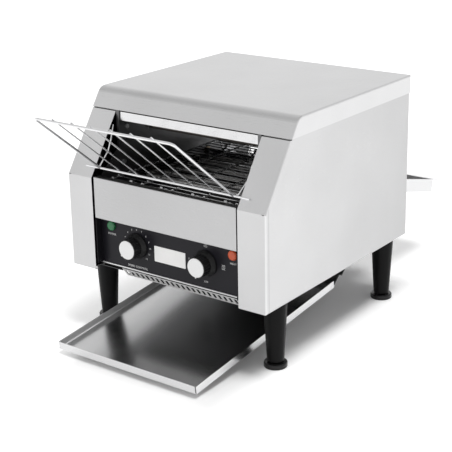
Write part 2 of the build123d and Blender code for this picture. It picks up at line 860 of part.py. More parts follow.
def chain_outline(grow):
    """Outline round both wheels, the pitch line grown by an amount."""
    with BuildSketch() as outline:
        with Locations((drive_y, shaft_height)):
            Circle(wheel_radius + grow)
        with Locations((motor_y, motor_height)):
            Circle(pinion_radius + grow)
        make_hull()
    return outline.sketch


with BuildPart() as drive_chain:
    with BuildSketch(Plane.YZ.offset(chain_x - roller_length / 2)):
        with Locations(*chain_points()):
            Circle(roller_radius)
    extrude(amount=roller_length)
    for side in (-1, 1):
        plate_x0 = chain_x + side * roller_length / 2
        with BuildSketch(Plane.YZ.offset(plate_x0)):
            add(chain_outline(plate_depth))
            add(chain_outline(-plate_depth), mode=Mode.SUBTRACT)
        extrude(amount=side * 0.9)
save(drive_chain, "drive_chain")

gearbox_face = lining_half


def motor_rod(start, end, radius):
    """Round rod on the motor's axis, between two places across the machine."""
    straight_rod((start, motor_y, motor_height), (end, motor_y, motor_height), radius)


with BuildPart() as gearbox:
    with BuildSketch(Plane.YZ.offset(gearbox_face)):
        with Locations((motor_y, motor_height)):
            RectangleRounded(gearbox_size, gearbox_size, 5.0)
    extrude(amount=-gearbox_length)
    motor_rod(gearbox_face, gearbox_face + 4.0, boss_radius)
    hole((gearbox_face, motor_y, motor_height), (1, 0, 0), motor_shaft_radius + run_gap - fit_gap, 60.0)
    for dy in (-gearbox_corner, gearbox_corner):
        for dz in (-gearbox_corner, gearbox_corner):
            hole((gearbox_face, motor_y + dy, motor_height + dz), (1, 0, 0), depth=14.0)
save(gearbox, "gearbox")

motor_face = gearbox_face - gearbox_length
with BuildPart() as motor:
    motor_rod(motor_face - motor_length, motor_face, motor_radius)
    fillet(motor.edges().filter_by(GeomType.CIRCLE).sort_by(Axis.X)[0], radius=4.0)
save(motor, "motor")

with BuildPart() as motor_shaft:
    motor_rod(gearbox_face - 28.0, chain_x + 5.0, motor_shaft_radius)
save(motor_shaft, "motor_shaft")

# ---------------------------------------------------------------- heating
terminal_x = chamber_outer + terminal_length
element_end = chamber_half - element_end_gap


def hairpins(height, label):
    """Three hairpin elements at one height, their ends through the right wall."""
    with BuildPart() as tubes:
        for index in range(3):
            first = element_legs[2 * index]
            second = element_legs[2 * index + 1]
            bent_rod(
                [
                    (terminal_x, first, height),
                    (-element_end, first, height),
                    (-element_end, second, height),
                    (terminal_x, second, height),
                ],
                element_radius,
                element_gap / 2 - 0.5,
            )
    save(tubes, label)
    return tubes


upper_elements = hairpins(upper_element_height, "upper_elements")
lower_elements = hairpins(lower_element_height, "lower_elements")

with BuildPart() as element_insulators:
    for y in element_legs:
        for height in (upper_element_height, lower_element_height):
            inner = chamber_half - 2.0
            seat = chamber_outer + fit_gap / 2
            straight_rod((inner, y, height), (seat, y, height), insulator_radius)
            straight_rod((seat, y, height), (seat + 4.0, y, height), insulator_radius + 2.0)
            hole((seat, y, height), (1, 0, 0), element_radius + run_gap - fit_gap, 14.0)
save(element_insulators, "element_insulators")

support_x0 = -element_end + 18.0
with BuildPart() as element_supports:
    for low, high, height in (
        (upper_element_height - 7.0, reflector_height - sheet - fit_gap, upper_element_height),
        (pan_height + sheet + fit_gap, lower_element_height + 7.0, lower_element_height),
    ):
        box_between(
            (support_x0, element_legs[0] - 9.0, low),
            (support_x0 + 1.5, element_legs[-1] + 9.0, high),
        )
        for y in element_legs:
            hole((support_x0, y, height), (1, 0, 0), element_radius + run_gap)
save(element_supports, "element_supports")

thermostat_y = front_y + thermostat_setback
thermostat_z = shaft_height + thermostat_rise
with BuildPart() as limit_thermostat:
    seat = chamber_outer + fit_gap / 2
    box_between(
        (seat, thermostat_y - 20.0, thermostat_z - 5.0), (seat + 1.0, thermostat_y + 20.0, thermostat_z + 5.0)
    )
    straight_rod((seat, thermostat_y, thermostat_z), (seat + 11.0, thermostat_y, thermostat_z), 9.0)
    for dy in (-4.0, 4.0):
        box_between(
            (seat + 11.0, thermostat_y + dy - 0.4, thermostat_z - 3.0),
            (seat + 19.0, thermostat_y + dy + 0.4, thermostat_z + 3.0),
        )
save(limit_thermostat, "limit_thermostat")

# ---------------------------------------------------------------- controls
panel_back = panel_y + sheet + fit_gap / 2


def knob(x, label):
    """Fluted knob with a flared base, its axis along Y."""
    base = Plane(origin=(x, panel_y - move_gap, knob_height), x_dir=(1, 0, 0), z_dir=(0, -1, 0))
    with BuildPart() as body:
        with BuildSketch(base):
            Circle(knob_base_radius)
        extrude(amount=knob_rim)
        with BuildSketch(base.offset(knob_rim)):
            Circle(knob_base_radius)
        with BuildSketch(base.offset(knob_flare)):
            Circle(knob_radius)
        loft()
        with BuildSketch(base.offset(knob_flare)):
            Circle(knob_radius)
            with PolarLocations(knob_radius + flute_radius / 2, knob_flutes):
                Circle(flute_radius, mode=Mode.SUBTRACT)
        extrude(amount=knob_length - knob_flare)
        with BuildSketch(base.offset(knob_length - 0.8)):
            Circle(knob_cap_radius + fit_gap)
        extrude(amount=2.0, mode=Mode.SUBTRACT)
        with BuildSketch(base):
            Circle(spindle_radius + run_gap)
        extrude(amount=14.0, mode=Mode.SUBTRACT)
    save(body, label)
    return body


def knob_cap(x, pointer, label):
    """Bright disc let into the knob's face, with a small pointer at an angle on its rim."""
    seat = panel_y - move_gap - knob_length + 0.8
    face = Plane(origin=(x, seat, knob_height), x_dir=(1, 0, 0), z_dir=(0, -1, 0))
    with BuildPart() as disc:
        with BuildSketch(face):
            Circle(knob_cap_radius)
        extrude(amount=knob_cap_thickness)
        fillet(disc.edges().group_by(Axis.Y)[0], radius=0.6)
        with BuildSketch(face.offset(knob_cap_thickness - 0.6)):
            with PolarLocations(knob_cap_radius, 1, start_angle=pointer):
                Rectangle(pointer_length, pointer_width)
        extrude(amount=0.6)
    save(disc, label)
    return disc


def spindle(x, label):
    """Spindle from the control into its knob."""
    with BuildPart() as pin:
        start = (x, panel_y + 14.0, knob_height)
        straight_rod(start, (x, panel_y - move_gap - 12.0, knob_height), spindle_radius)
    save(pin, label)
    return pin


speed_knob = knob(speed_knob_x, "speed_knob")
selector_knob = knob(selector_knob_x, "selector_knob")
speed_knob_cap = knob_cap(speed_knob_x, speed_pointer, "speed_knob_cap")
selector_knob_cap = knob_cap(selector_knob_x, selector_pointer, "selector_knob_cap")
speed_spindle = spindle(speed_knob_x, "speed_spindle")
selector_spindle = spindle(selector_knob_x, "selector_spindle")


def control_body(x, label, width, depth, rounded):
    """Control behind the panel: bush through the panel and a bored body."""
    with BuildPart() as body:
        with BuildSketch(Plane.XZ.offset(-panel_back)):
            with Locations((x, knob_height)):
                RectangleRounded(width, width, rounded)
        extrude(amount=-depth)
        straight_rod((x, panel_back, knob_height), (x, panel_y - fit_gap, knob_height), spindle_radius + 0.9)
        with BuildSketch(Plane.XZ.offset(-panel_y + 2.0)) as bore:
            with Locations((x, knob_height)):
                Circle(spindle_radius + run_gap)
        extrude(bore.sketch, amount=-17.0, mode=Mode.SUBTRACT)
        for dx in (-0.25, 0.0, 0.25):
            box_between(
                (x + dx * width - 0.4, panel_back + depth, knob_height - 3.0),
                (x + dx * width + 0.4, panel_back + depth + 8.0, knob_height + 3.0),
            )
    save(body, label)
    return body


speed_control = control_body(speed_knob_x, "speed_control", 28.0, 22.0, 12.0)
selector_switch = control_body(selector_knob_x, "selector_switch", 38.0, 42.0, 3.0)


def lamp(x, label):
    """Lamp lens with a domed face and a stem through the panel."""
    with BuildPart() as lens:
        straight_rod((x, panel_y - fit_gap / 2, lamp_height), (x, panel_y - 4.0, lamp_height), lamp_radius)
        fillet(lens.edges().group_by(Axis.Y)[0], radius=3.0)
        stem = lamp_radius - 2.0 - run_gap
        straight_rod((x, panel_y - fit_gap / 2, lamp_height), (x, panel_back + 22.0, lamp_height), stem)
        straight_rod((x, panel_back, lamp_height), (x, panel_back + 4.0, lamp_height), lamp_radius - 0.5)
    save(lens, label)
    return lens


power_lamp = lamp(power_lamp_inset - panel_half, "power_lamp")
heat_lamp = lamp(panel_half - heat_lamp_inset, "heat_lamp")

board_y = baffle_y - board_lead
board_height = pan_top + 10.0
with BuildPart() as control_board:
    with BuildSketch(Plane.XY.offset(board_height)):
        with Locations((board_x, board_y)):
            Rectangle(*board_size)
    extrude(amount=1.6)
    with BuildSketch(Plane.XY.offset(pan_seat)):
        with Locations((board_x, board_y)):
            with GridLocations(board_size[0] - 10.0, board_size[1] - 10.0, 2, 2):
                Circle(3.0)
    extrude(amount=board_height - pan_seat)
    for dx, dy, width, depth, height in ((-25.0, 6.0, 20.0, 24.0, 18.0), (4.0, -8.0, 26.0, 12.0, 10.0)):
        box_between(
            (board_x + dx - width / 2, board_y + dy - depth / 2, board_height + 1.6),
            (board_x + dx + width / 2, board_y + dy + depth / 2, board_height + 1.6 + height),
        )
save(control_board, "control_board")

block_y = rear_y - block_inset
block_width = 34.0
block_length = 52.0
with BuildPart() as terminal_block:
    box_between(
        (gland_x - block_width / 2, block_y - block_length / 2, pan_seat + sheet),
        (gland_x + block_width / 2, block_y + block_length / 2, pan_seat + sheet + 16.0),
    )
    with BuildSketch(Plane.XY.offset(pan_seat + 8.0)):
        with Locations((gland_x, block_y)):
            with GridLocations(block_width / 2, block_length / 4, 2, 4):
                Circle(3.0)
    extrude(amount=20.0, mode=Mode.SUBTRACT)
    box_between(
        (chamber_outer + foot_width + 2.0, block_y - 6.0, pan_seat),
        (gland_x + block_width / 2, block_y + 6.0, pan_seat + sheet),
    )
save(terminal_block, "terminal_block")

with BuildPart() as cable_gland:
    face = rear_inner + sheet + fit_gap / 2
    straight_rod((gland_x, face, gland_height), (gland_x, face + 5.0, gland_height), gland_radius + 3.0)
    straight_rod((gland_x, face, gland_height), (gland_x, rear_inner - 8.0, gland_height), gland_radius)
    with BuildSketch(Plane.XZ.offset(-(face + 5.0))):
        with Locations((gland_x, gland_height)):
            RegularPolygon(gland_radius + 1.5, 6)
    extrude(amount=-9.0)
    hole((gland_x, face, gland_height), (0, 1, 0), 4.0, 60.0)
save(cable_gland, "cable_gland")

wire_radius = 1.3
wire_pitch = 3.2
wire_height = pan_top + 9.0
with BuildPart() as supply_wires:
    for index in (-1, 0, 1):
        lane = body_half - 14.0 + wire_pitch * index
        rear = block_y - block_length / 2 - fit_gap
        lift = wire_hole_z + wire_pitch * index
        across = wire_hole_y + wire_pitch * index
        bent_rod(
            [
                (lane, rear, wire_height),
                (lane, wire_hole_y, wire_height + wire_pitch * index),
                (chamber_outer + 12.0, across, lift),
                (selector_knob_x + 12.0, across, lift),
                (selector_knob_x + 9.5 * index, panel_back + 52.0, knob_height),
            ],
            wire_radius,
            6.0,
        )
save(supply_wires, "supply_wires")

# ---------------------------------------------------------------- cooling fan
fan_bore = fan_size / 2 - 3.0
fan_hub = 14.0
fan_pin = 2.0
rotor_low = pan_seat + 5.0
rotor_height = fan_thickness - 8.0
with BuildPart() as fan_frame:
    with BuildSketch(Plane.XY.offset(pan_seat)):
        with Locations((fan_x, fan_y)):
            RectangleRounded(fan_size, fan_size, 4.0)
            Circle(fan_bore, mode=Mode.SUBTRACT)
            with GridLocations(fan_size - 9.0, fan_size - 9.0, 2, 2):
                Circle(2.2, mode=Mode.SUBTRACT)
    extrude(amount=fan_thickness)
    with BuildSketch(Plane.XY.offset(pan_seat)):
        with Locations((fan_x, fan_y)):
            Circle(fan_hub + 1.0)
            with PolarLocations(fan_bore / 2 + 4.0, 3):
                Rectangle(fan_bore - 6.0, 4.0)
    extrude(amount=3.0)
    with BuildSketch(Plane.XY.offset(pan_seat)):
        with Locations((fan_x, fan_y)):
            Circle(fan_pin)
    extrude(amount=fan_thickness - 6.0)
save(fan_frame, "fan_frame")

with BuildPart() as fan_rotor:
    with BuildSketch(Plane.XY.offset(rotor_low)):
        with Locations((fan_x, fan_y)):
            Circle(fan_hub)
    extrude(amount=rotor_height)
    blade_length = fan_bore - fan_hub - 1.5
    with Locations((fan_x, fan_y, rotor_low + rotor_height / 2)):
        with PolarLocations(fan_hub - 1.0 + blade_length / 2, fan_blades):
            Box(blade_length, 1.6, rotor_height, rotation=(38, 0, 0))
    with BuildSketch(Plane.XY.offset(pan_seat)):
        with Locations((fan_x, fan_y)):
            Circle(fan_pin + run_gap)
    extrude(amount=fan_thickness, mode=Mode.SUBTRACT)
save(fan_rotor, "fan_rotor")

# ---------------------------------------------------------------- loading rack
slope = radians(slope_angle)
stand_off = rack_bar_radius + move_gap
rack_half = chamber_half - rack_inset
rack_bar_half = body_half - rack_bar_inset
rack_rest_height = knee_height + rack_rest_rise
bar_y = slope_y(rack_rest_height) - stand_off * sin(slope)
bar_z = rack_rest_height + stand_off * cos(slope)
hook_y = bar_y + (rack_bar_radius + hook_wire - 0.2) * cos(radians(hook_lean))
hook_z = bar_z - (rack_bar_radius + hook_wire - 0.2) * sin(radians(hook_lean))
top_y = front_y - rack_reach + rack_frame_radius
rake = atan2(rack_top_height - bar_z, bar_y - top_y)
wire_rise = rack_frame_radius + rack_wire_radius - 0.3
wire_nub = 2.5
rack_pitch = 2 * rack_half / (rack_inner_wires + 1)
hook_x = chamber_half - hook_wire - 1.0
hook_low = knee_height + 35.0
hook_high = knee_height + 52.0
catch_x = chamber_outer + 1.5 * hook_wire + 0.5
catch_height = knee_height + 72.0
hook_setback = 9.0  # behind the slope


def rack_point(x, along, rise):
    """Point on the rack's sloping plane, from the bar up towards the top."""
    y = bar_y - along * cos(rake) + rise * sin(rake)
    return (x, y, bar_z + along * sin(rake) + rise * cos(rake))


rack_length = hypot(rack_top_height - bar_z, bar_y - top_y)
with BuildPart() as loading_rack:
    straight_rod((-rack_bar_half, bar_y, bar_z), (rack_bar_half, bar_y, bar_z), rack_bar_radius)
    bent_rod(
        [
            rack_point(-rack_half, 0.0, 0.0),
            rack_point(-rack_half, rack_length, 0.0),
            rack_point(rack_half, rack_length, 0.0),
            rack_point(rack_half, 0.0, 0.0),
        ],
        rack_frame_radius,
        rack_corner,
    )
    bent_rod(
        [
            (-catch_x, slope_y(catch_height) + hook_setback, catch_height),
            (-hook_x, slope_y(hook_high) + hook_setback, hook_high),
            (-hook_x, front_y + 36.0, hook_low),
            (-hook_x + 3.0, hook_y, hook_z),
            (hook_x - 3.0, hook_y, hook_z),
            (hook_x, front_y + 36.0, hook_low),
            (hook_x, slope_y(hook_high) + hook_setback, hook_high),
            (catch_x, slope_y(catch_height) + hook_setback, catch_height),
        ],
        hook_wire,
        6.0,
    )
    for index in range(rack_inner_wires):
        x = (index - (rack_inner_wires - 1) / 2) * rack_pitch
        straight_rod(
            rack_point(x, -1.0, wire_rise), rack_point(x, rack_length + wire_nub, wire_rise), rack_wire_radius
        )
save(loading_rack, "loading_rack")

# ---------------------------------------------------------------- front tray
tray_plane = Plane(
    origin=(0, tray_origin_y, tray_bottom),
    x_dir=(1, 0, 0),
    z_dir=(0, -sin(tray_tilt), cos(tray_tilt)),
)
tray_length = (tray_end_y - tray_origin_y) / cos(tray_tilt)
tray_half = chamber_half - tray_gap
corner_gap = 1.2


def box_on(plane, low, high, mode=Mode.ADD):
    """Box on a tilted plane, from its low to its high corner in that plane's own frame."""
    with BuildSketch(plane.offset(low[2])) as footprint:
        with Locations(((low[0] + high[0]) / 2, (low[1] + high[1]) / 2)):
            Rectangle(high[0] - low[0], high[1] - low[1])
    extrude(footprint.sketch, amount=high[2] - low[2], mode=mode)


with BuildPart() as front_tray:
    box_on(tray_plane, (-tray_half, 0, 0), (tray_half, tray_length, sheet))
    for side in (-1, 1):
        wall = sorted((side * tray_half, side * (tray_half - sheet)))
        box_on(tray_plane, (wall[0], corner_gap, 0), (wall[1], tray_length, tray_lip))
    front_half = tray_half - corner_gap - sheet
    box_on(tray_plane, (-front_half, 0, 0), (front_half, sheet, tray_lip))
save(front_tray, "front_tray")

# ---------------------------------------------------------------- return slide
wide_from = bend_y + 16.0
flange_to = flange_from + 56.0
strip = 1.5  # support strips welded under the slide
strip_front = tray_end_y - 82.0
strip_knee = tray_end_y + 6.0
strip_meet = strip_knee + 10.0
strip_rear = strip_meet + 26.0
slide_wide = chamber_half - 2.5 * fit_gap
slide_half = tray_half - slide_step
support_x = tray_half - support_inset
with BuildPart() as return_slide:
    with BuildSketch(Plane.YZ.offset(-slide_half)):
        sheet_profile(
            (toe_y, tray_under(toe_y) + toe_lift),
            (bend_y, slide_under(bend_y)),
            (slide_top_y, slide_under(slide_top_y)),
            (slide_top_y, slide_under(slide_top_y) + 7.0),
        )
    extrude(amount=2 * slide_half)
    with BuildSketch(Plane.YZ.offset(-slide_wide)):
        sheet_profile((wide_from, slide_under(wide_from)), (slide_top_y, slide_under(slide_top_y)))
    extrude(amount=2 * slide_wide)
    for side in (-1, 1):
        with BuildSketch(Plane.YZ.offset(side * slide_wide)):
            polygon(
                (flange_from, slide_under(flange_from)),
                (flange_to, slide_under(flange_to)),
                (flange_to, slide_under(flange_to) + flange_rise),
                (flange_from, slide_under(flange_from) + flange_rise),
            )
        extrude(amount=-side * sheet)
        for back, height in slide_screw_places:
            hole((side * slide_wide, back, height), (1, 0, 0))
    for side in (-1, 1):
        with BuildSketch(Plane.YZ.offset(side * support_x - support_width / 2)):
            sheet_profile(
                (strip_front, tray_under(strip_front) - move_gap),
                (strip_knee, tray_under(strip_knee) - move_gap),
                (strip_meet, slide_under(strip_meet)),
                (strip_rear, slide_under(strip_rear)),
                thickness=strip,
                side=Side.RIGHT,
            )
        extrude(amount=support_width)
save(return_slide, "return_slide")

# ---------------------------------------------------------------- rear tray
rear_tilt = radians(rear_tray_slope)
rear_start = rear_y - rear_tray_hold
rear_tray_half = chamber_half - rear_tray_gap


def rear_under(y):
    """Height of the rear tray's underside."""
    return rear_tray_height + (rear_y - y) * tan(rear_tilt)


rear_plane = Plane(
    origin=(0, rear_start, rear_under(rear_start)),
    x_dir=(1, 0, 0),
    z_dir=(0, sin(rear_tilt), cos(rear_tilt)),
)
rear_length = (rear_y + rear_reach - rear_start - rear_tray_wall * sin(rear_tilt)) / cos(rear_tilt)
end_wall = rear_length - rear_tray_lip
with BuildPart() as rear_tray:
    box_on(rear_plane, (-rear_tray_half, 0, 0), (rear_tray_half, end_wall, sheet))
    for side in (-1, 1):
        wall = sorted((side * rear_tray_half, side * (rear_tray_half - sheet)))
        box_on(rear_plane, (wall[0], 0, 0), (wall[1], end_wall, rear_tray_wall))
    box_on(rear_plane, (-rear_tray_half, end_wall - sheet, 0), (rear_tray_half, end_wall, rear_tray_wall))
    box_on(
        rear_plane,
        (-rear_tray_half, end_wall - sheet, rear_tray_wall - sheet),
        (rear_tray_half, rear_length, rear_tray_wall),
    )
save(rear_tray, "rear_tray")

ledge_front = rear_start + 3.0
ledge_rear = rear_inner - 4.0
ledge_leaf = 8.0
with BuildPart() as tray_ledges:
    for side in (-1, 1):
        leaf_x = side * lining_half
        with BuildSketch(Plane.YZ.offset(leaf_x)):
            sheet_profile(
                (ledge_front, rear_under(ledge_front) - move_gap),
                (ledge_rear, rear_under(ledge_rear) - move_gap),
                side=Side.RIGHT,
            )
        extrude(amount=-side * ledge_width)
        with BuildSketch(Plane.YZ.offset(leaf_x)):
            sheet_profile(
                (ledge_front, rear_under(ledge_front) - move_gap),
                (ledge_rear, rear_under(ledge_rear) - move_gap),
                thickness=ledge_leaf,
                side=Side.RIGHT,
            )
        extrude(amount=-side * sheet)
save(tray_ledges, "tray_ledges")

# ---------------------------------------------------------------- legs and feet
leg_top = body_bottom - fit_gap / 2
bolt_radius = 3.9
bolt_head_radius = 6.5
bolt_length = 18.0
stud_bore = stud_radius + run_gap

taper = degrees(atan2(leg_top_radius - leg_bottom_radius, leg_top - leg_bottom))
with BuildPart() as legs:
    with BuildSketch(Plane.XY.offset(leg_bottom)):
        with Locations(*leg_places.values()):
            Circle(leg_bottom_radius)
    extrude(amount=leg_top - leg_bottom, taper=-taper)
    fillet(legs.edges().group_by(Axis.Z)[0], radius=1.0)
    with BuildSketch(Plane.XY.offset(leg_bottom)):
        with Locations(*leg_places.values()):
            Circle(stud_bore)
    extrude(amount=stud_length + 2.0, mode=Mode.SUBTRACT)
    with BuildSketch(Plane.XY.offset(leg_top)):
        with Locations(*leg_places.values()):
            Circle(bolt_radius + run_gap)
    extrude(amount=-bolt_length, mode=Mode.SUBTRACT)
save(legs, "legs")

for place, (x, y) in leg_places.items():
    with BuildPart() as foot:
        with BuildSketch(Plane.XY):
            with Locations((x, y)):
                Circle(foot_radius)
        extrude(amount=foot_height)
        fillet(foot.edges().group_by(Axis.Z)[-1], radius=2.4)
        fillet(foot.edges().group_by(Axis.Z)[0], radius=1.2)
        with BuildSketch(Plane.XY.offset(foot_height)):
            with Locations((x, y)):
                Circle(stud_radius)
        extrude(amount=stud_length)
    save(foot, f"foot_{place}")

with BuildPart() as leg_bolts:
    for x, y in leg_places.values():
        straight_rod((x, y, pan_seat), (x, y, leg_top - bolt_length + 2.0), bolt_radius)
        with BuildSketch(Plane.XY.offset(pan_seat)):
            with Locations((x, y)):
                RegularPolygon(bolt_head_radius, 6)
        extrude(amount=5.0)
save(leg_bolts, "leg_bolts")

# ---------------------------------------------------------------- fasteners
with BuildPart() as screws:
    for back, height in wall_screws:
        screw((-chamber_half + fit_gap / 2, front_y + back, height), (-1, 0, 0), 5.0)
    for x in lid_screw_x:
        screw((x, lid_rear + fit_gap / 2, lid_screw_height), (0, -1, 0), 7.0)
    for x, height in case_screw_points:
        screw((x, rear_y + fit_gap / 2, height), (0, -1, 0), 6.0)
    for side in (-1, 1):
        for y, height in slide_screw_places:
            screw((side * (chamber_outer + fit_gap / 2), y, height), (-side, 0, 0), 4.0)
    for dy in (-gearbox_corner, gearbox_corner):
        for dz in (-gearbox_corner, gearbox_corner):
            screw((chamber_outer + fit_gap / 2, motor_y + dy, motor_height + dz), (-1, 0, 0), 7.0)
save(screws, "screws")
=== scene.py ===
"""Finish and studio for the conveyor toaster, in metres, in the frame of its solids."""
import math

import bpy
import bmesh
from mathutils import Matrix, Vector


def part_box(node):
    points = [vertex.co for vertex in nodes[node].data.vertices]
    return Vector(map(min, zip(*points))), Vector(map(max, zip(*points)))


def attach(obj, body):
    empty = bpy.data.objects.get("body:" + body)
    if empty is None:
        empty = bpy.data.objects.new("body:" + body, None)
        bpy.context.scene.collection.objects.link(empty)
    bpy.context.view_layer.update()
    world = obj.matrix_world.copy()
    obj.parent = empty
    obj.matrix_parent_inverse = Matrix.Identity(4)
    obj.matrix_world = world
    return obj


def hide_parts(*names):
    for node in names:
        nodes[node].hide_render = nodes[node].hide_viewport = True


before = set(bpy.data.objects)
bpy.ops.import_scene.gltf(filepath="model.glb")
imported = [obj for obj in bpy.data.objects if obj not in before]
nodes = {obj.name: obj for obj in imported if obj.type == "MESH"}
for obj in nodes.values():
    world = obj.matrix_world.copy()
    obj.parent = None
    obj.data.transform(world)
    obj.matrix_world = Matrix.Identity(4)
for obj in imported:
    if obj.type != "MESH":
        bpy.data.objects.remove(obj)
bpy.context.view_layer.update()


# ---------------------------------------------------------------- node helpers
def set_input(tree, socket, value):
    """Gives an input a value or another node's output."""
    if isinstance(value, bpy.types.NodeSocket):
        tree.links.new(value, socket)
    else:
        socket.default_value = value


def feed(tree, node, values):
    """Sets inputs of a node by their names, in which _ stands for a space."""
    for key, value in values.items():
        set_input(tree, node.inputs[key.replace("_", " ")], value)


def tree_node(tree, kind, settings=None, **values):
    """New node of a tree: settings are its properties, values its inputs."""
    made = tree.nodes.new(kind)
    for key, value in (settings or {}).items():
        setattr(made, key, value)
    feed(tree, made, values)
    return made


def math_node(tree, operation, *values):
    """Output of a Math node on values or other nodes' outputs."""
    made = tree_node(tree, "ShaderNodeMath", {"operation": operation})
    for socket, value in zip(made.inputs, values):
        set_input(tree, socket, value)
    return made.outputs[0]


def mixed(tree, factor, first, second, data_type="RGBA", blend_type="MIX"):
    """Mix of two values, of two colours in tuples or of other nodes' outputs."""
    ends = [(*end, 1.0) if isinstance(end, tuple) else end for end in (first, second)]
    made = tree_node(
        tree, "ShaderNodeMix", {"data_type": data_type, "blend_type": blend_type},
        Factor=factor, A=ends[0], B=ends[1],
    )
    return made.outputs["Result"]


def split_coordinates(tree, kind):
    """X, Y and Z outputs of a kind of texture coordinates."""
    whole = tree_node(tree, "ShaderNodeTexCoord").outputs[kind]
    parts = tree_node(tree, "ShaderNodeSeparateXYZ", Vector=whole)
    return parts.outputs["X"], parts.outputs["Y"], parts.outputs["Z"]


def share_between(tree, place, first, last, settings=None, low=0.0, high=1.0):
    """How far a coordinate lies between two places, as a number from low to high."""
    made = tree_node(
        tree, "ShaderNodeMapRange", settings,
        Value=place, From_Min=first, From_Max=last, To_Min=low, To_Max=high,
    )
    return made.outputs["Result"]


def object_space(tree, scale=(1, 1, 1), centre=(0, 0, 0)):
    """Object coordinates, scaled about a centre."""
    whole = tree_node(tree, "ShaderNodeTexCoord").outputs["Object"]
    moved = [-along * factor for along, factor in zip(centre, scale)]
    mapping = tree_node(tree, "ShaderNodeMapping", Vector=whole, Scale=scale, Location=moved)
    return mapping.outputs["Vector"]


def noise(tree, vector, scale, detail=2.0, roughness=0.5):
    """Noise texture's factor output."""
    texture = tree_node(
        tree, "ShaderNodeTexNoise",
        Vector=vector, Scale=scale, Detail=detail, Roughness=roughness,
    )
    return texture.outputs["Fac"]


def ramp(tree, factor, stops):
    """Colour ramp on a factor, from pairs of a position and a colour."""
    made = tree_node(tree, "ShaderNodeValToRGB", Fac=factor)
    elements = made.color_ramp.elements
    for place, _ in stops[1:-1]:
        elements.new(place)
    for element, (place, colour) in zip(elements, stops):
        element.position = place
        element.color = (*colour, 1.0)
    return made.outputs["Color"]


def varied(tree, factor, value, low, high, start=0.3, end=0.7):
    """Value or colour that follows a factor from one share of itself to another."""
    parts = value if isinstance(value, tuple) else (value,) * 3
    ends = [tuple(part * share for part in parts) for share in (low, high)]
    return ramp(tree, factor, list(zip((start, end), ends)))


# ---------------------------------------------------------------- kinds of material
faces_a_way = 0.5  # part of a normal from which its face counts as facing that way


def shader(name):
    """New node material and its tree."""
    material = bpy.data.materials.new(name)
    material.use_nodes = True
    return material, material.node_tree


def paint(tree, **values):
    """Sets inputs of the material's Principled shader."""
    feed(tree, tree.nodes["Principled BSDF"], values)


def bump(tree, height, distance):
    """Bump from a height."""
    relief = tree_node(tree, "ShaderNodeBump", Height=height, Distance=distance)
    paint(tree, Normal=relief.outputs["Normal"])


def grey(value):
    """Neutral steel colour, bluish by a trace."""
    return (value, value, min(1.0, value * 1.006))


def bare_metal(name, rough, grain, relief=0.00001, metallic=1.0):
    """Metal without its colour, with a fine grain along the axis whose scale is least."""
    material, tree = shader(name)
    fine = noise(tree, object_space(tree, grain), scale=60.0, detail=3.0, roughness=0.6)
    paint(tree, Metallic=metallic, Roughness=varied(tree, fine, rough, 0.88, 1.12))
    bump(tree, fine, relief)
    return material, tree


def clouds(tree, colour=1.0, variation=0.03):
    """Colour with the faint clouds of rolled sheet, or the clouds alone."""
    soft = noise(tree, object_space(tree), scale=9.0)
    return varied(tree, soft, colour, 1 - variation, 1 + variation)


def recolour(tree, colour, variation=0.03):
    """Gives a material a colour worked out by nodes, under its clouds."""
    under = clouds(tree, variation=variation)
    paint(tree, Base_Color=mixed(tree, 1.0, colour, under, blend_type="MULTIPLY"))


def sheet_metal(
    name, colour, rough, grain=(1, 40, 40), variation=0.03, relief=0.00001, metallic=1.0
):
    """Sheet or turned metal of one colour."""
    material, tree = bare_metal(name, rough, grain, relief, metallic)
    paint(tree, Base_Color=clouds(tree, colour, variation))
    return material


def bent_sheet(name, front, rear, side, shaded_rear_side, shade_line, flange, slope, bend):
    """Side panel's sheet with painted light: a grey for each way its faces look, a painted
    highlight on its bends, painted shade towards the rear and a painted shade line just behind
    the front bend.
    """
    side_from, bend_from, slope_from = 0.95, 0.30, 0.30  # of the normal's parts
    shade_line_setback, shade_line_half = 0.0068, 0.0013
    material, tree = bare_metal(name, 0.30, (50, 1, 50))
    along = split_coordinates(tree, "Object")[1]
    facing = split_coordinates(tree, "Normal")
    sideways = math_node(tree, "ABSOLUTE", facing[0])
    upward = math_node(tree, "GREATER_THAN", facing[2], slope_from)
    # front flange darker and sloping flange lighter, by how light falls on them: painted shade
    # and painted light
    flanges = mixed(tree, upward, grey(flange), grey(slope))
    beyond_flange = math_node(tree, "GREATER_THAN", sideways, bend_from)
    # lighter grey on the bends: painted highlight
    turned = mixed(tree, beyond_flange, flanges, grey(bend))
    # sides darker towards the rear: painted shade
    plain = mixed(tree, share_between(tree, along, front, rear), grey(side), grey(shaded_rear_side))
    # thin darker line just behind the front bend: painted shade
    on_shade_line = math_node(tree, "COMPARE", along, front + shade_line_setback, shade_line_half)
    faces = mixed(tree, on_shade_line, plain, grey(shade_line))
    beyond_bend = math_node(tree, "GREATER_THAN", sideways, side_from)
    recolour(tree, mixed(tree, beyond_bend, turned, faces))
    return material


def bent_lid(name, flat, bend):
    """Lid's sheet, with painted shade along its front bend."""
    bevel_rise, bend_begins, bend_ends, top_rise = 0.56, 0.72, 0.82, 0.98  # of the normal
    front_lean = -0.1
    material, tree = bare_metal(name, 0.30, (1, 50, 50))
    facing = split_coordinates(tree, "Normal")
    rise = share_between(tree, facing[2], bevel_rise, bend_begins)
    fall = share_between(tree, facing[2], top_rise, bend_ends)
    forward = math_node(tree, "LESS_THAN", facing[1], front_lean)
    turned = math_node(tree, "MULTIPLY", math_node(tree, "MULTIPLY", rise, fall), forward)
    # darker grey along the front bend: painted shade
    recolour(tree, mixed(tree, turned, grey(flat), grey(bend)))
    return material


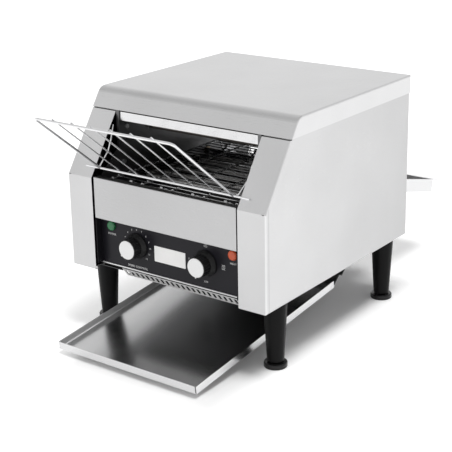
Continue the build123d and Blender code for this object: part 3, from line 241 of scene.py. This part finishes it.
def tray_metal(name, floor, outer_painted_light, rough, wall_rough, wall_metallic):
    """Bright tray whose upturned edges are satin inside and lighter outside: painted light on
    their outer faces.
    """
    material, tree = bare_metal(name, rough, (1, 30, 30), relief=0.0)
    grained = tree.nodes["Principled BSDF"].inputs["Roughness"].links[0].from_socket
    outward = math_node(
        tree, "MULTIPLY", split_coordinates(tree, "Normal")[0],
        math_node(tree, "SIGN", split_coordinates(tree, "Object")[0]),
    )
    inner_face = math_node(tree, "LESS_THAN", outward, -faces_a_way)
    outer_face = math_node(tree, "GREATER_THAN", outward, faces_a_way)
    # lighter grey on the walls' outer faces: painted light
    recolour(tree, mixed(tree, outer_face, grey(floor), grey(outer_painted_light)), 0.02)
    paint(
        tree,
        Roughness=mixed(tree, inner_face, grained, wall_rough, "FLOAT"),
        Metallic=mixed(tree, inner_face, 1.0, wall_metallic, "FLOAT"),
    )
    return material


def front_metal(name, colour, rough, metallic, shade):
    """Satin sheet, with painted shade on all faces that don't look forward."""
    material, tree = bare_metal(name, rough, (1, 40, 40), metallic=metallic)
    along = split_coordinates(tree, "Normal")[1]
    away = math_node(tree, "GREATER_THAN", along, -faces_a_way)
    # faces that don't look forward get a near-black grey: painted shade
    paint(tree, Base_Color=mixed(tree, away, clouds(tree, colour), grey(shade)))
    return material


def trim_metal(name, bright, rough, edge, shade):
    """Trim strip: bright above a level, with painted shade under it."""
    material, tree = bare_metal(name, rough, (1, 40, 40))
    above = math_node(tree, "GREATER_THAN", split_coordinates(tree, "Object")[2], edge)
    # near-black grey under the level: painted shade
    paint(tree, Base_Color=mixed(tree, above, grey(shade), grey(bright)))
    return material


def tarnished_wire(name, front, rear, lit_grey, shade_grey):
    """Steel wire with painted light: bright at both ends of the belt and painted shade between
    them.
    """
    lit_until, shade_from, shade_until, lit_from = 0.12, 0.26, 0.72, 0.84  # of its length
    material, tree = bare_metal(name, 0.24, (20, 20, 20))
    along = share_between(tree, split_coordinates(tree, "Object")[1], front, rear)
    # bright ends: painted light; darker middle: painted shade
    stops = (
        (lit_until, grey(lit_grey)),
        (shade_from, grey(shade_grey)),
        (shade_until, grey(shade_grey)),
        (lit_from, grey(lit_grey)),
    )
    paint(tree, Base_Color=ramp(tree, along, stops))
    return material


def moulded(name, colour, rough, pores=900.0, relief=0.00003, coat=0.0, shine=0.5):
    """Moulded plastic with a fine skin texture."""
    material, tree = shader(name)
    skin = noise(tree, object_space(tree), scale=pores, detail=3.0, roughness=0.55)
    cloud = noise(tree, object_space(tree), scale=22.0)
    paint(
        tree,
        Base_Color=varied(tree, cloud, colour, 0.93, 1.07),
        Roughness=varied(tree, skin, rough, 0.9, 1.12),
        Specular_IOR_Level=shine,
        Coat_Weight=coat,
        Coat_Roughness=0.08,
    )
    bump(tree, skin, relief)
    return material


def enamel(name, colour, rough, shine=0.5):
    """Smooth enamel with a faint orange-peel surface."""
    material, tree = shader(name)
    peel = noise(tree, object_space(tree), scale=420.0, roughness=0.4)
    cloud = noise(tree, object_space(tree), scale=14.0)
    paint(
        tree,
        Base_Color=varied(tree, cloud, colour, 0.95, 1.05),
        Roughness=varied(tree, peel, rough, 0.92, 1.1),
        Specular_IOR_Level=shine,
    )
    bump(tree, peel, 0.00001)
    return material


def lens_plastic(name, colour):
    """Coloured lamp lens, glossy, with fine vertical ribs inside."""
    material, tree = shader(name)
    ribs = tree_node(
        tree, "ShaderNodeTexWave", {"bands_direction": "X"},
        Vector=object_space(tree), Scale=320.0, Distortion=0.0,
    )
    paint(
        tree,
        Base_Color=varied(tree, ribs.outputs["Fac"], colour, 0.8, 1.25, 0.2, 0.8),
        Roughness=0.25,
        Coat_Weight=0.15,
        Coat_Roughness=0.05,
    )
    return material


def spun_metal(name, colour, rough, centre):
    """Metal disc turned about an axis along Y through a centre: rings round the axis."""
    material, tree = shader(name)
    rings = tree_node(
        tree, "ShaderNodeTexWave", {"wave_type": "RINGS", "rings_direction": "Y"},
        Vector=object_space(tree, centre=centre), Scale=480.0, Distortion=1.2,
    ).outputs["Fac"]
    paint(
        tree,
        Base_Color=varied(tree, rings, colour, 0.95, 1.04, 0.1, 0.9),
        Roughness=varied(tree, rings, rough, 0.85, 1.15, 0.1, 0.9),
        Metallic=0.85,
    )
    bump(tree, rings, 0.00002)
    return material


def heated_tube(name, low, high):
    """Oxidised sheath of a heating element, between two colours."""
    material, tree = shader(name)
    scale = noise(tree, object_space(tree), scale=160.0, detail=4.0, roughness=0.6)
    paint(
        tree,
        Base_Color=ramp(tree, scale, ((0.3, low), (0.7, high))),
        Roughness=ramp(tree, scale, ((0.3, (0.42,) * 3), (0.7, (0.62,) * 3))),
        Metallic=0.7,
    )
    bump(tree, scale, 0.00005)
    return material


# ---------------------------------------------------------------- materials
def span(node, axis):
    """Least and greatest place of a node along an axis."""
    return [corner[axis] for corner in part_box(node)]


def face_centre(node):
    """Middle of a node seen from the front, as X and Z."""
    return sum(span(node, 0)) / 2, sum(span(node, 2)) / 2


# 0.59 along the lid's front bend is painted shade
case_steel = bent_lid("case_steel", 0.715, 0.59)
# greys of the side panels: painted light and shade, with a painted highlight on the bends
side_steel = bent_sheet(
    "side_steel", *span("side_panel_right", 1),
    side=0.66, shaded_rear_side=0.56, shade_line=0.5676, flange=0.59, slope=0.72, bend=0.75,
)
# apron darker than the rest of the case's steel: painted shade
apron_steel = sheet_metal("apron_steel", (0.49, 0.49, 0.494), 0.30, (1, 50, 50))
bright_steel = sheet_metal("bright_steel", (0.71, 0.71, 0.715), 0.20)
satin_steel = front_metal("satin_steel", (0.66, 0.66, 0.66), 0.50, metallic=0.25, shade=0.012)
# darker grey for the return slide: painted shade
slide_steel = sheet_metal("slide_steel", (0.34, 0.34, 0.345), 0.34)
# dark grey for the chamber's lining: painted shade of the closed chamber
lining_steel = sheet_metal("lining_steel", (0.15, 0.15, 0.152), 0.38, (60, 1, 60))
tray_steel = tray_metal(
    "tray_steel", floor=0.71, outer_painted_light=0.86, rough=0.20, wall_rough=0.42, wall_metallic=0.45
)
# near white and hardly metallic: painted highlight of the tray's bends
bend_highlight_steel = sheet_metal("bend_highlight_steel", grey(0.90), 0.40, (40, 1, 40), metallic=0.2)
rear_tray_steel = sheet_metal("rear_tray_steel", (0.80, 0.80, 0.805), 0.30, (1, 30, 30), 0.02)
# very dark grey for the parts underneath: painted shade
underside_sheet_painted_shade = sheet_metal("underside_sheet_painted_shade", (0.09, 0.09, 0.093), 0.42, (20, 20, 20), 0.10)
trim_steel = trim_metal(
    "trim_steel", bright=0.72, rough=0.50, edge=face_centre("control_trim")[1], shade=0.02
)
rack_wire = sheet_metal("rack_wire", (0.80, 0.80, 0.81), 0.20, (20, 20, 20))
# belt wire: painted light at the belt's ends, painted shade in its middle
belt_wire = tarnished_wire("belt_wire", *span("conveyor_belt", 1), lit_grey=0.82, shade_grey=0.33)
turned_steel = sheet_metal("turned_steel", (0.56, 0.56, 0.57), 0.28, (4, 60, 60))
chain_steel = sheet_metal("chain_steel", (0.22, 0.21, 0.20), 0.36, (20, 20, 20), 0.12)
bush_bronze = sheet_metal("bush_bronze", (0.20, 0.165, 0.12), 0.42, (20, 20, 20), 0.08)
cast_alloy = sheet_metal("cast_alloy", (0.44, 0.44, 0.45), 0.50, (14, 14, 14), 0.08, 0.00006)
panel_enamel = enamel("panel_enamel", (0.012, 0.0115, 0.015), 0.34, 0.18)
motor_enamel = enamel("motor_enamel", (0.06, 0.06, 0.065), 0.40)
plate_white = enamel("plate_white", (0.90, 0.895, 0.885), 0.40)
print_white = enamel("print_white", (0.72, 0.72, 0.72), 0.5)
board_green = enamel("board_green", (0.02, 0.16, 0.06), 0.35)
knob_plastic = moulded("knob_plastic", (0.010, 0.010, 0.0105), 0.42, shine=0.3)
leg_plastic = moulded("leg_plastic", (0.005, 0.005, 0.0052), 0.36, shine=0.12)
foot_plastic = moulded("foot_plastic", (0.006, 0.006, 0.0065), 0.22, coat=0.15, shine=0.3)
inner_plastic = moulded("inner_plastic", (0.045, 0.045, 0.045), 0.5)
block_plastic = moulded("block_plastic", (0.70, 0.68, 0.60), 0.5)
insulator_glaze = moulded("insulator_glaze", (0.80, 0.78, 0.71), 0.35, 300.0, 0.00002, 0.4)
wire_cover = moulded("wire_cover", (0.06, 0.06, 0.06), 0.45)
green_lens = lens_plastic("green_lens", (0.010, 0.14, 0.045))
red_lens = lens_plastic("red_lens", (0.52, 0.072, 0.016))
element_sheath = heated_tube("element_sheath", (0.045, 0.040, 0.036), (0.12, 0.105, 0.09))
# lower elements lighter than the upper ones: painted highlight
bright_sheath = heated_tube("bright_sheath", (0.36, 0.35, 0.34), (0.56, 0.55, 0.54))

finishes = [
    (side_steel, ("side_panel_left", "side_panel_right")),
    (case_steel, ("lid", "rear_panel")),
    (apron_steel, ("apron",)),
    (satin_steel, ("vent_strip",)),
    (panel_enamel, ("control_panel",)),
    (plate_white, ("name_plate",)),
    (trim_steel, ("control_trim",)),
    (bright_steel, ("upper_reflector",)),
    (
        lining_steel,
        ("inner_wall_left", "inner_wall_right", "lower_reflector", "element_supports"),
    ),
    (underside_sheet_painted_shade, ("base_pan", "heat_baffle", "tray_ledges")),
    (belt_wire, ("conveyor_belt",)),
    (
        turned_steel,
        (
            "idler_shaft", "drive_shaft", "idler_sprockets", "drive_sprockets", "chain_wheel",
            "motor_sprocket", "motor_shaft", "speed_spindle", "selector_spindle", "leg_bolts",
            "screws",
        ),
    ),
    (bush_bronze, ("shaft_bushes",)),
    (chain_steel, ("drive_chain",)),
    (cast_alloy, ("gearbox",)),
    (motor_enamel, ("motor",)),
    (element_sheath, ("upper_elements",)),
    (bright_sheath, ("lower_elements",)),
    (insulator_glaze, ("element_insulators",)),
    (
        inner_plastic,
        (
            "limit_thermostat", "speed_control", "selector_switch", "cable_gland",
            "fan_frame", "fan_rotor",
        ),
    ),
    (knob_plastic, ("speed_knob", "selector_knob")),
    (green_lens, ("power_lamp",)),
    (red_lens, ("heat_lamp",)),
    (board_green, ("control_board",)),
    (block_plastic, ("terminal_block",)),
    (wire_cover, ("supply_wires",)),
    (rack_wire, ("loading_rack",)),
    (tray_steel, ("front_tray",)),
    (slide_steel, ("return_slide",)),
    (rear_tray_steel, ("rear_tray",)),
    (leg_plastic, ("legs",)),
    (
        foot_plastic,
        ("foot_front_left", "foot_front_right", "foot_rear_left", "foot_rear_right"),
    ),
]
for dial in ("speed", "selector"):
    across, up = face_centre(f"{dial}_knob")
    cap_metal = spun_metal(f"{dial}_cap_metal", (0.71, 0.71, 0.71), 0.34, (across, 0.0, up))
    finishes.append((cap_metal, (f"{dial}_knob_cap",)))
for material, finished in finishes:
    for node in finished:
        for place in nodes[node].material_slots:
            place.material = material


# ---------------------------------------------------------------- conveyor belt
def geometry_tree(name, sizes):
    """Empty Geometry Nodes group with a named input for each size."""
    group = bpy.data.node_groups.new(name, "GeometryNodeTree")
    for way in ("INPUT", "OUTPUT"):
        group.interface.new_socket("Geometry", in_out=way, socket_type="NodeSocketGeometry")
    for label, value in sizes.items():
        kind = "NodeSocketInt" if isinstance(value, int) else "NodeSocketFloat"
        socket = group.interface.new_socket(label, in_out="INPUT", socket_type=kind)
        socket.default_value = value
    return group, group.nodes.new("NodeGroupInput").outputs, group.nodes.new("NodeGroupOutput")


def vector_of(group, x=0.0, y=0.0, z=0.0):
    """Output of a Combine XYZ node."""
    return tree_node(group, "ShaderNodeCombineXYZ", X=x, Y=y, Z=z).outputs[0]


def joined(group, pieces):
    """Output of a Join Geometry node."""
    join = group.nodes.new("GeometryNodeJoinGeometry")
    for piece in pieces:
        group.links.new(piece, join.inputs[0])
    return join.outputs[0]


def finish_tree(group, output, pieces, material):
    """Joins, realizes and paints the tree's pieces."""
    whole = tree_node(group, "GeometryNodeRealizeInstances", Geometry=joined(group, pieces))
    smooth = tree_node(group, "GeometryNodeSetShadeSmooth", Geometry=whole.outputs[0])
    painted = tree_node(
        group, "GeometryNodeSetMaterial", Geometry=smooth.outputs[0], Material=material
    )
    group.links.new(painted.outputs[0], output.inputs[0])


def grown(name, base, group, body):
    """Plain mesh object from a base object's Geometry Nodes result, riding on a body."""
    modifier = base.modifiers.new(name, "NODES")
    modifier.node_group = group
    bpy.context.view_layer.update()
    evaluated = base.evaluated_get(bpy.context.evaluated_depsgraph_get())
    mesh = bpy.data.meshes.new_from_object(evaluated)
    bpy.data.objects.remove(base, do_unlink=True)
    piece = bpy.data.objects.new(name, mesh)
    bpy.context.collection.objects.link(piece)
    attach(piece, body)
    return piece


def closed_path(name, points):
    """Closed curve object through points."""
    curve = bpy.data.curves.new(name, "CURVE")
    curve.dimensions = "3D"
    spline = curve.splines.new("POLY")
    spline.points.add(len(points) - 1)
    for place, point in zip(spline.points, points):
        place.co = (*point, 1.0)
    spline.use_cyclic_u = True
    path = bpy.data.objects.new(name, curve)
    bpy.context.collection.objects.link(path)
    return path


def belt_path(wire):
    """Loop of the belt's wire centres round both shafts, seen along X."""
    arc_steps = 40
    low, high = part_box("conveyor_belt")
    radius = (high.z - low.z) / 2 - wire
    height = (high.z + low.z) / 2
    front = low.y + wire + radius
    rear = high.y - wire - radius
    turns = [math.pi * step / arc_steps for step in range(arc_steps + 1)]
    loop = []
    for middle, side in ((rear, 1), (front, -1)):
        for turn in turns:
            y = middle + side * radius * math.sin(turn)
            loop.append((0.0, y, height + side * radius * math.cos(turn)))
    return closed_path("belt_path", loop[-1:] + loop[:-1])


def hooked_bends(group, gap, wire, half_pitch, reach, lanes):
    """One row's pairs of hooked bends, a pair at each lane line."""
    hook_points, wire_corners = 7, 6
    curves = []
    back = math_node(group, "MULTIPLY", half_pitch, -1.0)
    for side in (-1.0, 1.0):
        offset = math_node(group, "MULTIPLY", gap, side)
        leg = tree_node(
            group, "GeometryNodeCurvePrimitiveLine",
            Start=vector_of(group, offset, back), End=vector_of(group, offset, half_pitch),
        )
        curves.append(leg.outputs[0])
    hook = tree_node(
        group, "GeometryNodeCurveArc", {"mode": "RADIUS"},
        Resolution=hook_points, Radius=gap, Sweep_Angle=math.pi,
    )
    placed_hook = tree_node(
        group, "GeometryNodeTransform", Geometry=hook.outputs[0],
        Translation=vector_of(group, 0.0, half_pitch, wire),
    )
    curves.append(placed_hook.outputs[0])
    profile = tree_node(
        group, "GeometryNodeCurvePrimitiveCircle", Resolution=wire_corners, Radius=wire
    )
    pair = tree_node(
        group, "GeometryNodeCurveToMesh",
        Curve=joined(group, curves), Profile_Curve=profile.outputs[0],
    )
    pairs = []
    for lane in range(lanes + 1):
        place = math_node(group, "MULTIPLY", reach, 2.0 * lane / lanes - 1.0)
        moved = tree_node(
            group, "GeometryNodeTransform",
            Geometry=pair.outputs[0], Translation=vector_of(group, place),
        )
        pairs.append(moved.outputs[0])
    return joined(group, pairs)


def wire_belt():
    """Wire belt: straight strands with a pair of hooked bends at each lane line."""
    wire_radius = 0.0009
    lanes = 4
    strand_corners = 8
    end_inset = 1.6  # of the last bend from the strand's end, in half gaps
    group, given, output = geometry_tree(
        "belt_weave",
        {
            "Rows": 50,
            "Pitch": 0.0128,
            "Half width": span("conveyor_belt", 0)[1],
            "Wire radius": wire_radius,
            "Bend half gap": 0.0015,
        },
    )
    half_width = given["Half width"]
    wire = given["Wire radius"]
    gap = given["Bend half gap"]
    stations = tree_node(
        group, "GeometryNodeResampleCurve",
        Curve=given["Geometry"], Count=math_node(group, "MULTIPLY", given["Rows"], 2),
    )
    heading = tree_node(
        group, "FunctionNodeAlignRotationToVector", {"axis": "Y", "pivot_axis": "X"},
        Vector=tree_node(group, "GeometryNodeInputTangent").outputs[0],
    )
    index = tree_node(group, "GeometryNodeInputIndex").outputs[0]
    odd = math_node(group, "MODULO", index, 2)
    even = math_node(group, "SUBTRACT", 1.0, odd)
    rod = tree_node(
        group, "GeometryNodeMeshCylinder", Vertices=strand_corners, Radius=wire,
        Depth=math_node(group, "MULTIPLY", half_width, 2.0),
    )
    strand = tree_node(
        group, "GeometryNodeTransform",
        Geometry=rod.outputs["Mesh"], Rotation=(0.0, math.pi / 2, 0.0),
    )
    half_pitch = math_node(group, "MULTIPLY", given["Pitch"], 0.5)
    inset = math_node(group, "MULTIPLY", gap, end_inset)
    reach = math_node(group, "SUBTRACT", half_width, inset)
    row = hooked_bends(group, gap, wire, half_pitch, reach, lanes)
    rows = []
    for instance, chosen in ((strand.outputs[0], odd), (row, even)):
        placed = tree_node(
            group, "GeometryNodeInstanceOnPoints", Points=stations.outputs[0],
            Instance=instance, Rotation=heading.outputs[0], Selection=chosen,
        )
        rows.append(placed.outputs[0])
    finish_tree(group, output, rows, belt_wire)
    belt = grown("belt_wires", belt_path(wire_radius), group, "casing")
    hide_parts("conveyor_belt")


# ---------------------------------------------------------------- tray bends and print
def mesh_of(name, made):
    """Mesh of a bmesh, which is freed."""
    mesh = bpy.data.meshes.new(name)
    made.to_mesh(mesh)
    made.free()
    return mesh


def painted_object(name, made, material):
    """Object of a bmesh in one material."""
    mesh = mesh_of(name, made)
    mesh.materials.append(material)
    piece = bpy.data.objects.new(name, mesh)
    bpy.context.collection.objects.link(piece)
    return piece


def tray_bends():
    """Lighter bends along the foot of the front tray's side walls: a painted highlight."""
    slope = math.tan(math.radians(5.6))  # of the tray's floor
    sheet = 0.0010
    size = 0.0013
    front_gap = 0.003
    rear_gap = 0.018  # clear of the return slide's lip
    low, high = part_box("front_tray")
    made = bmesh.new()
    for side in (-1, 1):
        ends = []
        for y in (low.y + front_gap, high.y - rear_gap):
            floor = low.z + sheet + slope * (y - low.y - sheet)
            corners = []
            for inset, rise in ((0, 0), (1, 0), (0, 1)):
                x = side * (high.x - sheet - inset * size)
                corners.append(made.verts.new((x, y, floor + rise * size)))
            ends.append(corners)
        near, far = ends
        made.faces.new(near)
        made.faces.new(far[::-1])
        for first in range(3):
            second = (first + 1) % 3
            made.faces.new((near[first], far[first], far[second], near[second]))
    bmesh.ops.recalc_face_normals(made, faces=made.faces)
    bends = painted_object("tray_bends", made, bend_highlight_steel)
    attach(bends, "toast_tray")


def words_mesh(text, height):
    """Flat mesh of a word, centred on its own origin, in X and Y."""
    capital_share = 0.7  # of a capital's height in the font's size
    letter_spacing = 1.12
    boldness = 0.012
    curve = bpy.data.curves.new(text, "FONT")
    curve.body = text
    curve.size = height / capital_share
    curve.align_x = "CENTER"
    curve.align_y = "CENTER"
    curve.space_character = letter_spacing
    curve.offset = height * boldness
    word = bpy.data.objects.new(text, curve)
    bpy.context.collection.objects.link(word)
    bpy.context.view_layer.update()
    evaluated = word.evaluated_get(bpy.context.evaluated_depsgraph_get())
    mesh = bpy.data.meshes.new_from_object(evaluated)
    bpy.data.objects.remove(word, do_unlink=True)
    return mesh


def ribbon(outline, width):
    """Flat mesh strip along a 2-D polyline, closed when its ends are the same."""
    made = bmesh.new()
    closed = outline[0] == outline[-1]
    last = len(outline) - 1
    pairs = []
    for index, point in enumerate(outline):
        before = Vector(outline[max(index - 1, 0)])
        after = Vector(outline[min(index + 1, last)])
        if closed and index in (0, last):
            before, after = Vector(outline[-2]), Vector(outline[1])
        along = (after - before).normalized()
        across = Vector((-along.y, along.x)) * width / 2
        here = Vector(point)
        pairs.append([made.verts.new((*(here + across * side), 0.0)) for side in (1, -1)])
    for one, two in zip(pairs, pairs[1:]):
        made.faces.new((one[0], one[1], two[1], two[0]))
    return mesh_of("ribbon", made)


def slice_icon(above, below):
    """Meshes of a slice seen from its edge between glowing lines above and below."""
    half, rise, line = 0.0030, 0.0011, 0.0005
    glow_level, glow_swing, glow_steps = 0.0031, 0.0006, 16
    outline = [(-half, -rise), (half, -rise), (half, rise), (-half, rise), (-half, -rise)]
    strips = [ribbon(outline, line)]
    for shown, side in ((above, 1), (below, -1)):
        if shown:
            wave = []
            for step in range(glow_steps + 1):
                swing = glow_swing * math.sin(step * math.pi / 2)
                wave.append((2 * half * step / glow_steps - half, side * glow_level + swing))
            strips.append(ribbon(wave, line))
    return strips


def panel_print():
    """All the printed words and signs on the control panel."""
    ink = 0.00003  # above the panel's enamel
    face_y = span("name_plate", 1)[1] - ink
    upright = Matrix.Rotation(math.pi / 2, 4, "X")
    made = bmesh.new()

    def put(mesh, x, z):
        mesh.transform(Matrix.Translation((x, face_y, z)) @ upright)
        made.from_mesh(mesh)
        bpy.data.meshes.remove(mesh)

    lamp_word_height, lamp_word_drop = 0.0030, 0.0138
    # word, its height, the node it belongs to and how far it stands under that node's middle
    for word, height, node, drop in (
        ("POWER", lamp_word_height, "power_lamp", lamp_word_drop),
        ("HEAT", lamp_word_height, "heat_lamp", lamp_word_drop),
        ("SPEED CONTROL", 0.0033, "speed_knob", 0.0353),
        ("OFF", 0.0028, "selector_knob", 0.0297),
    ):
        x, z = face_centre(node)
        put(words_mesh(word, height), x, z - drop)

    greatest, number_height, dial_ring = 12, 0.0026, 0.0258
    first_angle, number_step = 225.0, 22.5
    x, z = face_centre("speed_knob")
    for number in range(greatest + 1):
        angle = math.radians(first_angle - number_step * number)
        right, up = dial_ring * math.cos(angle), dial_ring * math.sin(angle)
        put(words_mesh(str(number), number_height), x + right, z + up)

    # place of each slice sign from the selector's middle, and the glowing lines that it has
    x, z = face_centre("selector_knob")
    for right, up, above, below in (
        (0.0, 0.0265, True, False),
        (0.0325, 0.0, True, True),
        (-0.0295, 0.0, False, True),
    ):
        for strip in slice_icon(above, below):
            put(strip, x + right, z + up)
    prints = painted_object("panel_print", made, print_white)
    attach(prints, "casing")


wire_belt()
tray_bends()
panel_print()


# ---------------------------------------------------------------- studio
def studio_world():
    """White surroundings that dim towards the top, and light matt surfaces less."""
    level, high_up = 1.04, 0.70  # brightness that metal mirrors, at the horizon and high up
    high_from = 0.65
    seen, matt_light = 1.0, 0.40
    world = bpy.data.worlds.new("studio")
    bpy.context.scene.world = world
    world.use_nodes = True
    tree = world.node_tree
    rise = split_coordinates(tree, "Generated")[2]
    mirrored = share_between(tree, rise, 0.0, high_from, low=level, high=high_up)
    rays = tree_node(tree, "ShaderNodeLightPath").outputs
    shown = mixed(tree, rays["Is Camera Ray"], mirrored, seen, "FLOAT")
    strength = mixed(tree, rays["Is Diffuse Ray"], shown, matt_light, "FLOAT")
    background = {"Color": (1.0, 1.0, 1.0, 1.0), "Strength": strength}
    feed(tree, tree.nodes["Background"], background)


def soft_sun(name, towards, strength, spread):
    """Wide sun shining towards a direction; metal mirrors the surroundings instead of it."""
    light = bpy.data.lights.new(name, "SUN")
    light.energy = strength
    light.angle = math.radians(spread)
    sun = bpy.data.objects.new(name, light)
    bpy.context.collection.objects.link(sun)
    sun.location = (0.0, 0.0, 3.0)
    sun.rotation_euler = Vector(towards).to_track_quat("-Z", "Y").to_euler()
    sun.visible_glossy = False


def studio_floor():
    """Pale floor that keeps the shadows near the toaster and ends in white."""
    reach = 30.0
    paper = 0.92
    seen_lift, mirrored_lift = 0.34, 0.24  # glow of the far floor, seen and mirrored
    shade_centre, shade_half = (0.035, -0.09, 0.0), (0.115, 0.265, 0.0)  # no glow in this box
    fade = 0.06
    mesh = bpy.data.meshes.new("floor")
    corners = [(-reach, -reach, 0), (reach, -reach, 0), (reach, reach, 0), (-reach, reach, 0)]
    mesh.from_pydata(corners, [], [(0, 1, 2, 3)])
    floor = bpy.data.objects.new("floor", mesh)
    bpy.context.collection.objects.link(floor)
    material, tree = shader("floor_paper")
    place = tree_node(tree, "ShaderNodeTexCoord").outputs["Object"]
    for operation, amount in (
        ("SUBTRACT", shade_centre),
        ("ABSOLUTE", None),
        ("SUBTRACT", shade_half),
        ("MAXIMUM", (0.0, 0.0, 0.0)),
        ("LENGTH", None),
    ):
        step = tree_node(tree, "ShaderNodeVectorMath", {"operation": operation})
        set_input(tree, step.inputs[0], place)
        if amount:
            set_input(tree, step.inputs[1], amount)
        place = step.outputs["Value" if operation == "LENGTH" else "Vector"]
    far = share_between(tree, place, 0.0, fade, {"interpolation_type": "SMOOTHSTEP"})
    rays = tree_node(tree, "ShaderNodeLightPath").outputs
    lift = math_node(tree, "MULTIPLY", rays["Is Camera Ray"], seen_lift)
    for kind in ("Is Glossy Ray", "Is Transmission Ray"):
        mirrored = math_node(tree, "MULTIPLY", rays[kind], mirrored_lift)
        lift = math_node(tree, "MAXIMUM", lift, mirrored)
    paint(
        tree,
        Base_Color=(paper, paper, paper, 1.0),
        Roughness=0.9,
        Specular_IOR_Level=0.0,
        Emission_Color=(1.0, 1.0, 1.0, 1.0),
        Emission_Strength=math_node(tree, "MULTIPLY", lift, far),
    )
    mesh.materials.append(material)


def view_camera():
    """Camera at the chosen viewing place, with its lens off centre."""
    sensor = 36.0
    view_width, focal = 452.0, 1173.06  # in pixels
    centre_across, centre_down = 250.0, 180.0
    place = (1.06661, -1.51877, 0.78213)
    yaw, pitch, roll = (math.radians(angle) for angle in (-35.71, 17.15, -0.71))
    data = bpy.data.cameras.new("camera")
    data.sensor_fit = "HORIZONTAL"
    data.sensor_width = sensor
    data.lens = sensor * focal / view_width
    data.shift_x = (view_width / 2 - centre_across) / view_width
    data.shift_y = (centre_down - view_width / 2) / view_width
    data.clip_end = 100.0
    camera = bpy.data.objects.new("camera", data)
    bpy.context.collection.objects.link(camera)
    level = Vector((math.sin(yaw), math.cos(yaw), 0.0))
    forward = level * math.cos(pitch) - Vector((0.0, 0.0, math.sin(pitch)))
    right = Vector((math.cos(yaw), -math.sin(yaw), 0.0))
    up = right.cross(forward)
    side = right * math.cos(roll) + up * math.sin(roll)
    head = up * math.cos(roll) - right * math.sin(roll)
    turn = Matrix((side, head, -forward)).transposed()
    camera.matrix_world = Matrix.Translation(place) @ turn.to_4x4()
    bpy.context.scene.camera = camera


studio_world()
studio_floor()
view_camera()
soft_sun("top_light", (-0.22, 0.02, -1.0), 1.65, 18.0)
soft_sun("front_light", (0.35, 1.0, -0.5), 0.90, 40.0)

scene = bpy.context.scene
scene.view_settings.view_transform = "Standard"
